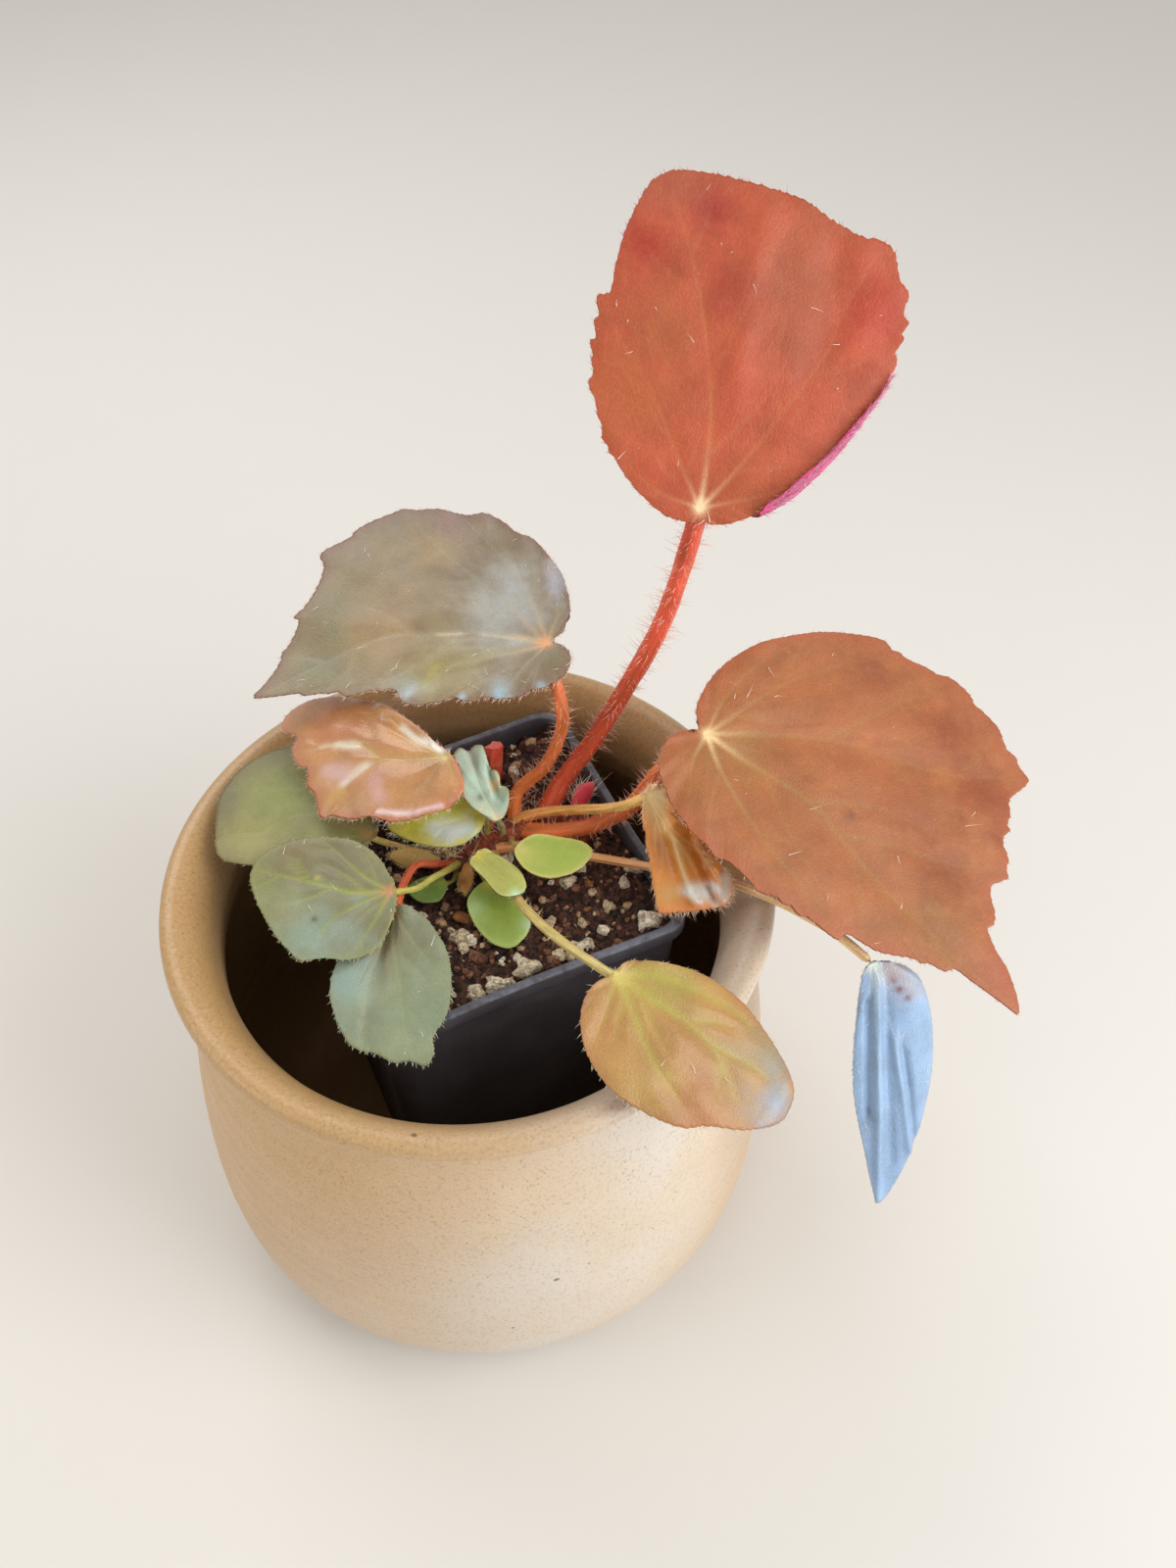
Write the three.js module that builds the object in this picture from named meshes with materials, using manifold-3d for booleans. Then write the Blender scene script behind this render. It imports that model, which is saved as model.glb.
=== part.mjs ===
// Potted garnet begonia: a rhizomatous begonia in a square nursery pot,
// which stands in a round-bellied stoneware cover pot.
// Millimetres, +Z up, origin at the centre of the cover pot's foot.

import * as THREE from 'three';
import { mergeVertices } from 'three/addons/utils/BufferGeometryUtils.js';
import Module from 'manifold-3d';

const wasm = await Module();
wasm.setup();

// Driving dimensions
const GAP = 0.3; // clearance between neighbouring pieces
const BLADE = 0.8; // leaf blade thickness
const SOIL_TOP = 121; // height of the soil surface
const SOIL_RELIEF = 0.5; // height of the soil's unevenness

// Cover pot, as radius and height: up the outside, over the rolled rim, down the inside
const COVER_POT = {
  segments: 48,
  outside: [[48, 0], [61, 3], [71, 8], [77, 14], [80, 22], [80.8, 34], [80, 52], [77.8, 72], [74.5, 92],
    [70.5, 108], [69.2, 117]],
  rim: [[70.2, 121.2], [72.2, 124], [74.3, 126.6], [75, 129], [74.2, 130.5], [72, 131], [69.4, 130],
    [67.2, 127.6], [65.6, 124]],
  inside: [[64.4, 119], [64.6, 113], [66, 106], [69.5, 92], [73, 72], [75.2, 52], [75.5, 34], [73, 21],
    [66, 12], [56, 8]],
  floor: 8,
};

// Square nursery pot: tapered walls, a thicker lip, drain holes in its floor
const NURSERY = {
  centre: [0.8, 7],
  turn: 26.4, // degrees about +Z
  lipSide: 81,
  lipHeight: 5,
  topSide: 78.5,
  bottomSide: 69,
  corner: 7,
  wall: 1.2,
  bottom: COVER_POT.floor + GAP,
  top: 126,
  drainRadius: 4,
  drainOffset: 20,
};

// Rhizome: a thick creeping stem, half sunk in the soil
const RHIZOME = {
  radius: 4.3,
  path: [[-5, 7.5, 120.8], [3, 12, 123.2], [12, 18, 124], [22, 19, 123], [31, 19.6, 121]],
  knotRadius: 4.9,
};

// How finely a blade is divided: rays from the petiole's hub, rings, and tooth height
const LARGE = { rays: 40, rings: [0.3, 0.6, 0.85], tooth: 1.3 };
const MEDIUM = { rays: 28, rings: [0.4, 0.75], tooth: 0.8 };
const SMALL = { rays: 16, rings: [0.6], tooth: 0.4 };
const LOBED = { rays: 26, rings: [0.6], tooth: 0.2 };

// Leaves: hub is the petiole's joint; along points to the tip; face is the blade's normal.
// bend droops the tip and cup the sides. The outline is in the blade's plane, tip first.
// The petiole runs from the rhizome through its points to the hub.
const LEAVES = [
  {
    name: 'tall', grain: LARGE, colour: 0xb5513a,
    hub: [52, 37, 212], along: [-0.04, 0.6, 0.8], face: [0.02, -0.8, 0.6], bend: 7, cup: -3,
    outline: [[70, 2], [68, -11], [61, -27], [55, -39], [44, -46], [30, -43], [13, -34], [4, -23],
      [-3, -10], [-3, 0], [0, 9], [9, 18], [23, 23], [37, 23], [52, 17], [64, 13]],
    petiole: {
      radius: 2.2, colour: 0xc8503c,
      points: [[16, 18.5, 124.5], [22, 29, 131], [29, 33, 141], [36, 36, 154], [42, 37.5, 168],
        [46.5, 37.5, 182], [50, 38.5, 198]],
    },
  },
  {
    name: 'right', grain: LARGE, colour: 0xb4683f,
    hub: [56, 13, 166], along: [0.74, -0.57, -0.36], face: [0.22, -0.3, 0.93], bend: 10, cup: -3,
    outline: [[96, 6], [83, 12], [77, 21], [74, 32], [67, 42], [66, 57], [54, 61], [41, 63], [24, 60],
      [9, 51], [-4, 33], [-8, 16], [-5, 2], [-2, -2], [-6, -8], [-1, -17], [9, -20], [25, -20], [43, -17],
      [52, -15], [64, -8], [77, 0]],
    petiole: {
      radius: 2.1, colour: 0xc4553c,
      points: [[12, 16.5, 125], [20, 14, 128.5], [29, 14, 131], [39, 14.5, 138], [46, 15.5, 150],
        [52, 14, 160]],
    },
  },
  {
    name: 'grey', grain: LARGE, colour: 0x84796a,
    hub: [18, 42, 168], along: [-0.98, -0.14, -0.14], face: [-0.1, -0.28, 0.95], bend: 7, cup: -2,
    outline: [[76, -4], [67, -15], [63, -24], [56, -32], [55, -43], [46, -48], [32, -51], [10, -43],
      [-1, -31], [-7, -15], [-6, -6], [-2, 0], [-5, 5], [0, 12], [14, 13], [26, 11], [38, 7], [57, 0]],
    petiole: {
      radius: 1.5, colour: 0xc7563a,
      points: [[10, 17, 125], [10, 26, 129], [17, 29, 136], [21, 30, 146], [22, 31, 155], [20, 35.5, 162]],
    },
  },
  {
    name: 'copper', grain: MEDIUM, colour: 0xc08a5e,
    hub: [-5, 13, 157], along: [-0.91, 0.36, -0.19], face: [-0.28, -0.22, 0.93], bend: 6, cup: -4,
    outline: [[52, -3], [50, -11], [33, -14], [15, -10], [2, -2], [-2, 0], [-6, 5], [-3, 12], [12, 17],
      [30, 19], [37, 12], [45, 3]],
    petiole: {
      radius: 1.2, colour: 0xb8643f,
      points: [[4, 13, 125], [4, 24, 127], [-4, 27, 136], [-8, 23, 147], [-6.5, 16, 154]],
    },
  },
  {
    name: 'olive', grain: MEDIUM, colour: 0x7d8a5e,
    hub: [-25, 6, 136], along: [-0.99, 0.11, -0.04], face: [-0.05, -0.1, 0.99], bend: 1, cup: -1,
    outline: [[39, 2], [41, -10], [35, -22], [26, -26], [13, -20], [2, -9], [-2, -1], [2, 5], [14, 10],
      [27, 11], [36, 9]],
    petiole: {
      radius: 1, colour: 0xa08a4c,
      points: [[-3, 9, 123], [-10, 11, 124.5], [-16, 10.5, 125], [-21, 9.5, 128], [-24, 7, 133]],
    },
  },
  {
    name: 'blue_green', grain: MEDIUM, colour: 0x93a68f,
    hub: [-17, -14, 140], along: [-0.99, 0.1, -0.08], face: [-0.1, -0.25, 0.96], bend: 3, cup: 0,
    outline: [[36, -1], [36, -8], [27, -13], [16, -14], [6, -10], [0, -3], [-2, 4], [0, 12], [9, 16],
      [19, 17], [28, 10]],
    petiole: {
      radius: 0.8, colour: 0xb4b354,
      points: [[-4, 7.5, 123], [-6, 2, 127.5], [-9.3, -3.9, 131.5], [-12, -9.5, 135]],
    },
  },
  {
    name: 'hanging', grain: MEDIUM, colour: 0x97af9a,
    hub: [-16, -17, 137], along: [0.15, -0.96, -0.24], face: [-0.08, -0.25, 0.96], bend: 3, cup: -1,
    outline: [[37, 1], [34, -6], [28, -14], [19, -17], [10, -15], [3, -9], [-1, -1], [2, 7], [12, 11],
      [21, 11], [31, 7]],
    petiole: {
      radius: 0.9, colour: 0xc05a3c,
      points: [[-5, 8, 122.5], [-9.5, 4, 127], [-13.5, 1, 130.5], [-15.4, -7, 133.5]],
    },
  },
  {
    name: 'bronze', grain: MEDIUM, colour: 0xb5905e,
    hub: [36, -40, 145], along: [0.83, -0.53, -0.19], face: [0.12, -0.17, 0.98], bend: 7, cup: -2,
    outline: [[45, 3], [46, -3], [40, -10], [29, -18], [19, -21], [8, -20], [0, -14], [-4, -6], [-2, 1],
      [0, 6], [9, 10], [20, 12], [31, 10], [41, 7]],
    petiole: {
      radius: 1.25, colour: 0xd0c078,
      points: [[4, 11.5, 124], [7, 2, 128], [13, -11, 131.5], [23, -26, 138], [31, -35, 142]],
    },
  },
  {
    name: 'curled', grain: MEDIUM, colour: 0xae7540,
    hub: [43, 8, 150], along: [0.28, -0.7, -0.65], face: [-0.2, -0.71, 0.68], bend: 0, cup: -2,
    outline: [[31, -1], [29, -9], [19, -5], [9, -3], [1, -2], [-2, 3], [5, 6], [15, 10], [22, 15], [31, 12]],
    petiole: {
      radius: 1.3, colour: 0xcf7f4e,
      points: [[8, 15.5, 124], [12, 18.5, 128.3], [19, 18.3, 131.3], [27.5, 15.2, 136], [34.7, 11.7, 141],
        [40, 9, 146.3]],
    },
  },
  {
    name: 'slate', grain: MEDIUM, colour: 0x8f9cb4,
    hub: [95, -27, 132], along: [0.1, -0.49, -0.87], face: [0.1, -0.86, 0.5], bend: 2, cup: -3,
    outline: [[68, 1], [53, -2], [33, -5], [14, -4], [0, -1], [0, 4], [5, 11], [18, 15], [35, 15], [52, 11]],
    petiole: {
      radius: 0.95, colour: 0xc99a6e,
      points: [[1, 11, 124], [14, 10, 127.5], [30, 5.6, 129], [45, 1.5, 130.5], [63, -5, 132.3],
        [76, -13, 133.7], [87, -21, 134]],
    },
  },
  {
    name: 'lime', grain: SMALL, colour: 0x9da04c,
    hub: [2, 16.5, 133], along: [-0.98, -0.11, -0.14], face: [-0.1, -0.3, 0.95], bend: 1.5, cup: -1,
    outline: [[25, -1], [18, 5], [8, 8], [1, 5], [-1, 0], [3, -7], [10, -8], [18, -4]],
    petiole: { radius: 0.9, colour: 0xb0a850, points: [[3, 13.5, 125], [3, 15, 129]] },
  },
  {
    name: 'young', grain: LOBED, colour: 0x9cbaa4,
    hub: [6, 12, 136], along: [-0.49, 0.75, 0.44], face: [0, -0.5, 0.86], bend: 0, cup: 1,
    outline: [[19.5, 0], [18.3, -2.5], [18, -4.8], [16, -5.9], [13, -5.4], [11.4, -4.5], [10, -4.9],
      [8.7, -5.7], [7.2, -4.9], [5.2, -5.8], [2.4, -5], [0, -2.5], [-0.7, 0.9], [2.9, 3.7], [6, 4.8],
      [10.5, 3.8], [15, 2.8], [18.6, 2.4]],
    petiole: { radius: 0.8, colour: 0xa8b070, points: [[7, 14, 126], [7, 13.5, 131]] },
  },
  {
    name: 'oval', grain: SMALL, colour: 0x96ad4e,
    hub: [13, 1, 137], along: [1, -0.04, -0.01], face: [0, -0.3, 0.95], bend: 1, cup: 1,
    outline: [[17, 1], [14, -4], [7, -7], [1, -5], [-2, 0], [2, 4], [8, 4], [15, 3]],
    petiole: { radius: 0.7, colour: 0xb0ae58, points: [[9, 14, 126], [10, 8, 131], [12, 3.5, 135]] },
  },
  {
    name: 'mint', grain: SMALL, colour: 0x7fa05c,
    hub: [2, 1, 135], along: [0.78, -0.59, -0.1], face: [0.05, -0.13, 0.98], bend: 0, cup: 0,
    outline: [[15, 0], [12, -5], [5, -4], [0, -3], [0, 2], [5, 3], [11, 3]],
    petiole: { radius: 0.7, colour: 0xaab05c, points: [[2, 10.5, 124.5], [1, 5, 130]] },
  },
  {
    name: 'low', grain: SMALL, colour: 0x76964c,
    hub: [4, -2, 127], along: [0.44, -0.89, -0.13], face: [0, -0.15, 0.99], bend: 1, cup: 0,
    outline: [[18, -1], [15, -5], [8, -7], [2, -6], [-1, 0], [3, 4], [10, 6], [15, 5]],
    petiole: { radius: 0.7, colour: 0x9aa450, points: [[1, 9, 123.5], [2.5, 3, 125]] },
  },
  {
    name: 'shy', grain: SMALL, colour: 0x6f9350,
    hub: [-7, -0.4, 125], along: [-1, -0.06, 0], face: [0, -0.1, 1], bend: 0, cup: 0,
    outline: [[9, 1], [5, -2], [1, -2], [-1, 0], [1, 5], [6, 5]],
    petiole: { radius: 0.6, colour: 0x8f9c50, points: [[-4.5, 6.5, 122], [-5, 2.4, 122.8]] },
  },
];

// Bracts: small papery scales that clasp the crown, shaped like short blades
const BRACTS = [
  {
    name: 'bract_olive', grain: SMALL, colour: 0x8c7c4a,
    hub: [-9.4, 7, 125.6], along: [-0.93, -0.17, 0.33], face: [0.2, -0.5, 0.84], bend: 0, cup: -0.6,
    outline: [[12, 0], [8, -2.2], [3, -1.8], [-1, 0], [3, 1.8], [8, 2.2]],
  },
  {
    name: 'bract_amber', grain: SMALL, colour: 0xb08a4a,
    hub: [-1.6, 5.1, 125.3], along: [0, -0.98, -0.12], face: [0.1, -0.12, 0.99], bend: 0, cup: -0.4,
    outline: [[8.5, 0], [5, -1.7], [1.5, -1.4], [-1, 0], [1.5, 1.4], [5, 1.7]],
  },
  {
    name: 'bract_pink', grain: SMALL, colour: 0xd4505a,
    hub: [24.6, 23.8, 126], along: [0.62, 0.68, 0.4], face: [0.4, -0.7, 0.6], bend: 0, cup: -0.8,
    outline: [[9, 0], [6, -2.6], [1.5, -1.8], [-1, 0], [1.5, 1.8], [6, 2.6]],
  },
];

// Red bud: a young shoot that stands in a hole in the soil
const BUD = { radius: 2.2, path: [[3, 37.5, 117], [3, 38.5, 123], [3.4, 41, 131.5]], colour: 0xd63c28 };

// Perlite grains: larger ones as x, y and radius, and a number of small ones strewn over the soil
const PERLITE = {
  placed: [[15, -24, 2.4], [44, -9, 2.6], [28.5, -15, 2.2], [-2, -14, 2], [3, -30, 1.8], [8, -28, 2.3],
    [24, 3, 1.9], [-1, -9, 1.7]],
  strewn: 36,
  smallest: 0.9,
  largest: 2,
  flatten: 0.7,
  seed: 11,
};

// Seeded random numbers between 0 and 1
function randomSource(seed) {
  let state = seed;
  return () => {
    state = (state * 1664525 + 1013904223) % 4294967296;
    return state / 4294967296;
  };
}

const vector = ([x, y, z]) => new THREE.Vector3(x, y, z);

// Keeps only positions, merges shared corners and drops triangles that have no area
function welded(geometry) {
  const bare = geometry.clone();
  bare.deleteAttribute('normal');
  bare.deleteAttribute('uv');
  const merged = mergeVertices(bare, 1e-4);
  const kept = [];
  for (let i = 0; i < merged.index.count; i += 3) {
    const [a, b, c] = [0, 1, 2].map((k) => merged.index.getX(i + k));
    if (a !== b && b !== c && a !== c) kept.push(a, b, c);
  }
  merged.setIndex(kept);
  return facingOut(merged);
}

// Turns every triangle round if the closed surface encloses a negative volume
function facingOut(geometry) {
  const at = geometry.attributes.position;
  const index = Array.from(geometry.index.array);
  const [p, q, r] = [new THREE.Vector3(), new THREE.Vector3(), new THREE.Vector3()];
  let volume = 0;
  for (let i = 0; i < index.length; i += 3) {
    p.fromBufferAttribute(at, index[i]);
    q.fromBufferAttribute(at, index[i + 1]);
    r.fromBufferAttribute(at, index[i + 2]);
    volume += p.dot(q.cross(r));
  }
  if (volume < 0) {
    for (let i = 0; i < index.length; i += 3) [index[i + 1], index[i + 2]] = [index[i + 2], index[i + 1]];
    geometry.setIndex(index);
  }
  return geometry;
}

function geometryFrom(points, triangles) {
  const geometry = new THREE.BufferGeometry();
  const places = points.flatMap((p) => [p.x, p.y, p.z]);
  geometry.setAttribute('position', new THREE.Float32BufferAttribute(places, 3));
  geometry.setIndex(triangles);
  return facingOut(geometry);
}

function solidFrom(geometry) {
  const { position } = geometry.attributes;
  return new wasm.Manifold(new wasm.Mesh({
    numProp: 3,
    vertProperties: Float32Array.from(position.array),
    triVerts: Uint32Array.from(geometry.index.array),
  }));
}

function geometryOf(solid) {
  const mesh = solid.getMesh();
  const geometry = new THREE.BufferGeometry();
  geometry.setAttribute('position', new THREE.BufferAttribute(mesh.vertProperties, 3));
  geometry.setIndex(new THREE.BufferAttribute(mesh.triVerts, 1));
  return geometry;
}

// A closed body through a stack of rings with equal numbers of points, with fans at both ends
function stackOfRings(rings) {
  const count = rings[0].length;
  const points = rings.flat();
  const triangles = [];
  for (let k = 0; k + 1 < rings.length; k += 1) {
    for (let i = 0; i < count; i += 1) {
      const j = (i + 1) % count;
      const [a, b, c, d] = [k * count + i, k * count + j, (k + 1) * count + j, (k + 1) * count + i];
      triangles.push(a, b, c, a, c, d);
    }
  }
  for (const [ring, forward] of [[0, false], [rings.length - 1, true]]) {
    const middle = new THREE.Vector3();
    rings[ring].forEach((p) => middle.addScaledVector(p, 1 / count));
    const centre = points.push(middle) - 1;
    for (let i = 0; i < count; i += 1) {
      const [a, b] = [ring * count + i, ring * count + ((i + 1) % count)];
      triangles.push(...(forward ? [centre, a, b] : [centre, b, a]));
    }
  }
  return geometryFrom(points, triangles);
}

// A square with round corners at one height; edgeSteps divides each straight side
function roundedSquare(side, corner, height, edgeSteps = 1) {
  const reach = side / 2 - corner;
  const cornerSteps = 3;
  const upward = new THREE.Vector3(0, 0, 1);
  const ring = [];
  for (let quarter = 0; quarter < 4; quarter += 1) {
    const start = (quarter * Math.PI) / 2;
    const middle = new THREE.Vector3(reach, reach, height).applyAxisAngle(upward, start);
    for (let i = 0; i <= cornerSteps; i += 1) {
      const angle = start + (i / cornerSteps) * (Math.PI / 2);
      const spoke = new THREE.Vector3(corner * Math.cos(angle), corner * Math.sin(angle), 0);
      ring.push(spoke.add(middle));
    }
    const from = ring[ring.length - 1];
    const next = new THREE.Vector3(reach, reach, height).applyAxisAngle(upward, start + Math.PI / 2);
    const spoke = new THREE.Vector3(-corner * Math.sin(start), corner * Math.cos(start), 0);
    const to = next.add(spoke);
    for (let i = 1; i < edgeSteps; i += 1) ring.push(from.clone().lerp(to, i / edgeSteps));
  }
  return ring;
}

function coverPotGeometry() {
  const { outside, rim, inside, floor, segments } = COVER_POT;
  const profile = [[0, 0], ...outside, ...rim, ...inside, [0, floor]]
    .map(([r, z]) => new THREE.Vector2(r, z));
  const turned = new THREE.LatheGeometry(profile, segments);
  turned.rotateX(Math.PI / 2);
  return welded(turned);
}

// The nursery pot's inner or outer side length at a height
function nurserySide(height, inset) {
  const along = (height - NURSERY.bottom) / (NURSERY.top - NURSERY.bottom);
  return THREE.MathUtils.lerp(NURSERY.bottomSide, NURSERY.topSide, along) - 2 * inset;
}

function nurseryGeometry() {
  const { bottom, top, lipHeight, lipSide, wall, corner, drainRadius, drainOffset } = NURSERY;
  const lipBottom = top - lipHeight;
  const outer = stackOfRings([
    roundedSquare(nurserySide(bottom, 0), corner, bottom),
    roundedSquare(nurserySide(lipBottom, 0), corner, lipBottom),
    roundedSquare(lipSide, corner, lipBottom + 1),
    roundedSquare(lipSide, corner, top),
  ]);
  const floor = bottom + wall;
  const above = top + 1;
  const inner = stackOfRings([
    roundedSquare(nurserySide(floor, wall), corner - wall, floor),
    roundedSquare(nurserySide(above, wall), corner - wall, above),
  ]);
  let pot = solidFrom(outer).subtract(solidFrom(inner));
  for (const [sx, sy] of [[1, 1], [1, -1], [-1, 1], [-1, -1]]) {
    const drain = new THREE.CylinderGeometry(drainRadius, drainRadius, 4 * wall, 12);
    drain.rotateX(Math.PI / 2);
    drain.translate(sx * drainOffset, sy * drainOffset, bottom);
    pot = pot.subtract(solidFrom(welded(drain)));
  }
  return geometryOf(pot);
}

// Gentle bumps of the soil surface
function soilHeight(x, y) {
  const swell = Math.sin(x * 0.31 + 1.3) * Math.cos(y * 0.27);
  const ripple = 0.6 * Math.sin(x * 0.7 - y * 0.6);
  return SOIL_TOP + SOIL_RELIEF * (swell + ripple);
}

function toPotPlace(geometry) {
  geometry.rotateZ(THREE.MathUtils.degToRad(NURSERY.turn));
  geometry.translate(NURSERY.centre[0], NURSERY.centre[1], 0);
  return geometry;
}

function soilBed() {
  const { bottom, wall, corner } = NURSERY;
  const inset = wall + GAP;
  const low = bottom + inset;
  const edgeSteps = 5;
  const topSide = nurserySide(SOIL_TOP, inset);
  const shrink = [1, 0.84, 0.64, 0.42, 0.2];
  const surface = shrink.map((part) => roundedSquare(topSide, corner - inset, SOIL_TOP, edgeSteps)
    .map((p) => new THREE.Vector3(p.x * part, p.y * part, soilHeight(p.x * part, p.y * part))));
  const base = roundedSquare(nurserySide(low, inset), corner - inset, low, edgeSteps);
  return solidFrom(toPotPlace(stackOfRings([base, ...surface])));
}

function perliteGrains() {
  const random = randomSource(PERLITE.seed);
  const reach = (nurserySide(SOIL_TOP, NURSERY.wall) - 2 * PERLITE.largest) / 2 - 1;
  const strewn = Array.from({ length: PERLITE.strewn }, () => {
    const place = new THREE.Vector3((random() * 2 - 1) * reach, (random() * 2 - 1) * reach, 0);
    place.applyAxisAngle(new THREE.Vector3(0, 0, 1), THREE.MathUtils.degToRad(NURSERY.turn));
    const radius = THREE.MathUtils.lerp(PERLITE.smallest, PERLITE.largest, random() ** 2);
    return [place.x + NURSERY.centre[0], place.y + NURSERY.centre[1], radius];
  });
  return [...PERLITE.placed, ...strewn].map(([x, y, radius]) => {
    const grain = new THREE.IcosahedronGeometry(radius, 0);
    grain.rotateZ(random() * Math.PI);
    grain.rotateX(random() * Math.PI);
    grain.scale(1, 1, PERLITE.flatten);
    grain.translate(x, y, SOIL_TOP);
    return solidFrom(welded(grain));
  });
}

// A round stem of even thickness along a smooth path
function stemGeometry(path, radius, sides, steps) {
  const corners = Array.from({ length: sides }, (_, i) => {
    const angle = (i / sides) * 2 * Math.PI;
    return new THREE.Vector2(radius * Math.cos(angle), radius * Math.sin(angle));
  });
  const curve = new THREE.CatmullRomCurve3(path);
  const options = { steps, bevelEnabled: false, extrudePath: curve };
  return welded(new THREE.ExtrudeGeometry(new THREE.Shape(corners), options));
}

// The rhizome with its knots, grown by extra on every side
function rhizomeSolid(extra) {
  const path = RHIZOME.path.map(vector);
  let solid = solidFrom(stemGeometry(path, RHIZOME.radius + extra, 8, 8));
  for (const knot of path) {
    const ball = new THREE.IcosahedronGeometry(RHIZOME.knotRadius + extra, 1);
    ball.translate(knot.x, knot.y, knot.z);
    solid = solid.add(solidFrom(welded(ball)));
  }
  return solid;
}

function budSolid(extra) {
  const [foot, ...rest] = BUD.path.map(vector);
  foot.z -= extra;
  return solidFrom(stemGeometry([foot, ...rest], BUD.radius + extra, 8, 5));
}

function soilGeometry() {
  let soil = soilBed();
  perliteGrains().forEach((grain) => {
    soil = soil.add(grain);
  });
  return geometryOf(soil.subtract(rhizomeSolid(GAP)).subtract(budSolid(GAP)));
}

// The blade's own axes: along to the tip, across, and out of its face
function bladeAxes({ along, face }) {
  const out = vector(face).normalize();
  const tip = vector(along);
  tip.addScaledVector(out, -tip.dot(out)).normalize();
  return { tip, across: new THREE.Vector3().crossVectors(out, tip), out };
}

// Evenly spaced points on the blade's margin, drawn out to a tooth and in to a notch by turns
function marginPoints({ outline, grain }) {
  const loop = outline.map(([u, v]) => new THREE.Vector3(u, v, 0));
  const turn = loop.reduce((sum, p, i) => {
    const q = loop[(i + 1) % loop.length];
    return sum + p.x * q.y - q.x * p.y;
  }, 0);
  if (turn < 0) loop.push(...loop.splice(1).reverse());
  const curve = new THREE.CatmullRomCurve3(loop, true);
  const count = 2 * grain.rays;
  return curve.getSpacedPoints(count).slice(0, count).map((p, i) => {
    const reach = p.length();
    const tooth = (grain.tooth / 2) * Math.min(1, reach / 12);
    return p.multiplyScalar(1 + (i % 2 === 0 ? tooth : -tooth) / reach);
  });
}

// A closed blade: a fan of rays from the hub, alike on its upper and lower face
function bladeGeometry(leaf) {
  const { rays, rings } = leaf.grain;
  const margin = marginPoints(leaf);
  const { tip, across, out } = bladeAxes(leaf);
  const hub = vector(leaf.hub);
  const length = Math.max(...leaf.outline.map(([u]) => u));
  const width = Math.max(...leaf.outline.map(([, v]) => Math.abs(v)));
  const flat = [new THREE.Vector3()];
  rings.forEach((part) => {
    for (let i = 0; i < rays; i += 1) flat.push(margin[2 * i].clone().multiplyScalar(part));
  });
  flat.push(...margin);
  const place = (p, side) => {
    const droop = -leaf.bend * (Math.max(p.x, 0) / length) ** 2 + leaf.cup * (p.y / width) ** 2;
    return hub.clone().addScaledVector(tip, p.x).addScaledVector(across, p.y)
      .addScaledVector(out, droop + (side * BLADE) / 2);
  };
  const face = [];
  const ringAt = (k, i) => 1 + k * rays + (i % rays);
  const marginAt = (i) => 1 + rings.length * rays + (i % (2 * rays));
  for (let i = 0; i < rays; i += 1) {
    face.push(0, ringAt(0, i), ringAt(0, i + 1));
    for (let k = 0; k + 1 < rings.length; k += 1) {
      face.push(ringAt(k, i), ringAt(k + 1, i), ringAt(k + 1, i + 1));
      face.push(ringAt(k, i), ringAt(k + 1, i + 1), ringAt(k, i + 1));
    }
    const last = rings.length - 1;
    face.push(ringAt(last, i), marginAt(2 * i), marginAt(2 * i + 1));
    face.push(ringAt(last, i), marginAt(2 * i + 1), ringAt(last, i + 1));
    face.push(ringAt(last, i + 1), marginAt(2 * i + 1), marginAt(2 * i + 2));
  }
  const lower = flat.length;
  const triangles = [...face];
  for (let i = 0; i < face.length; i += 3) {
    triangles.push(lower + face[i], lower + face[i + 2], lower + face[i + 1]);
  }
  for (let i = 0; i < 2 * rays; i += 1) {
    const [a, b] = [marginAt(i), marginAt(i + 1)];
    triangles.push(a, lower + a, lower + b, a, lower + b, b);
  }
  return geometryFrom([...flat.map((p) => place(p, 1)), ...flat.map((p) => place(p, -1))], triangles);
}

// A petiole from inside the rhizome to just under its blade's hub, cut clear of the rhizome
function petioleGeometry(leaf, rhizome) {
  const { radius, points } = leaf.petiole;
  const path = points.map(vector);
  const hub = vector(leaf.hub);
  const { out } = bladeAxes(leaf);
  const approach = new THREE.CatmullRomCurve3([...path, hub]).getTangent(1);
  const tilt = Math.sqrt(1 - approach.dot(out) ** 2);
  path.push(hub.addScaledVector(out, -(BLADE / 2 + GAP + radius * tilt)));
  const sides = radius > 1.4 ? 8 : 6;
  const steps = 3 + 2 * points.length;
  return geometryOf(solidFrom(stemGeometry(path, radius, sides, steps)).subtract(rhizome));
}

const group = new THREE.Group();

function addPiece(name, geometry, colour, roughness) {
  const material = new THREE.MeshStandardMaterial({ color: colour, roughness, metalness: 0 });
  const mesh = new THREE.Mesh(geometry, material);
  mesh.name = name;
  group.add(mesh);
  return mesh;
}

addPiece('cover_pot', coverPotGeometry(), 0xc8aa7c, 0.55);
const nurseryPot = addPiece('nursery_pot', nurseryGeometry(), 0x1c1d22, 0.5);
nurseryPot.position.set(NURSERY.centre[0], NURSERY.centre[1], 0);
nurseryPot.rotation.z = THREE.MathUtils.degToRad(NURSERY.turn);
addPiece('soil', soilGeometry(), 0x3a261c, 0.95);
addPiece('rhizome', geometryOf(rhizomeSolid(0)), 0x8c3c28, 0.7);
addPiece('bud', geometryOf(budSolid(0)), BUD.colour, 0.6);

const rhizomeClearance = rhizomeSolid(GAP);
LEAVES.forEach((leaf) => {
  addPiece(`leaf_${leaf.name}`, bladeGeometry(leaf), leaf.colour, 0.45);
  addPiece(`petiole_${leaf.name}`, petioleGeometry(leaf, rhizomeClearance), leaf.petiole.colour, 0.6);
});
BRACTS.forEach((bract) => addPiece(bract.name, bladeGeometry(bract), bract.colour, 0.6));

export default group;
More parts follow.
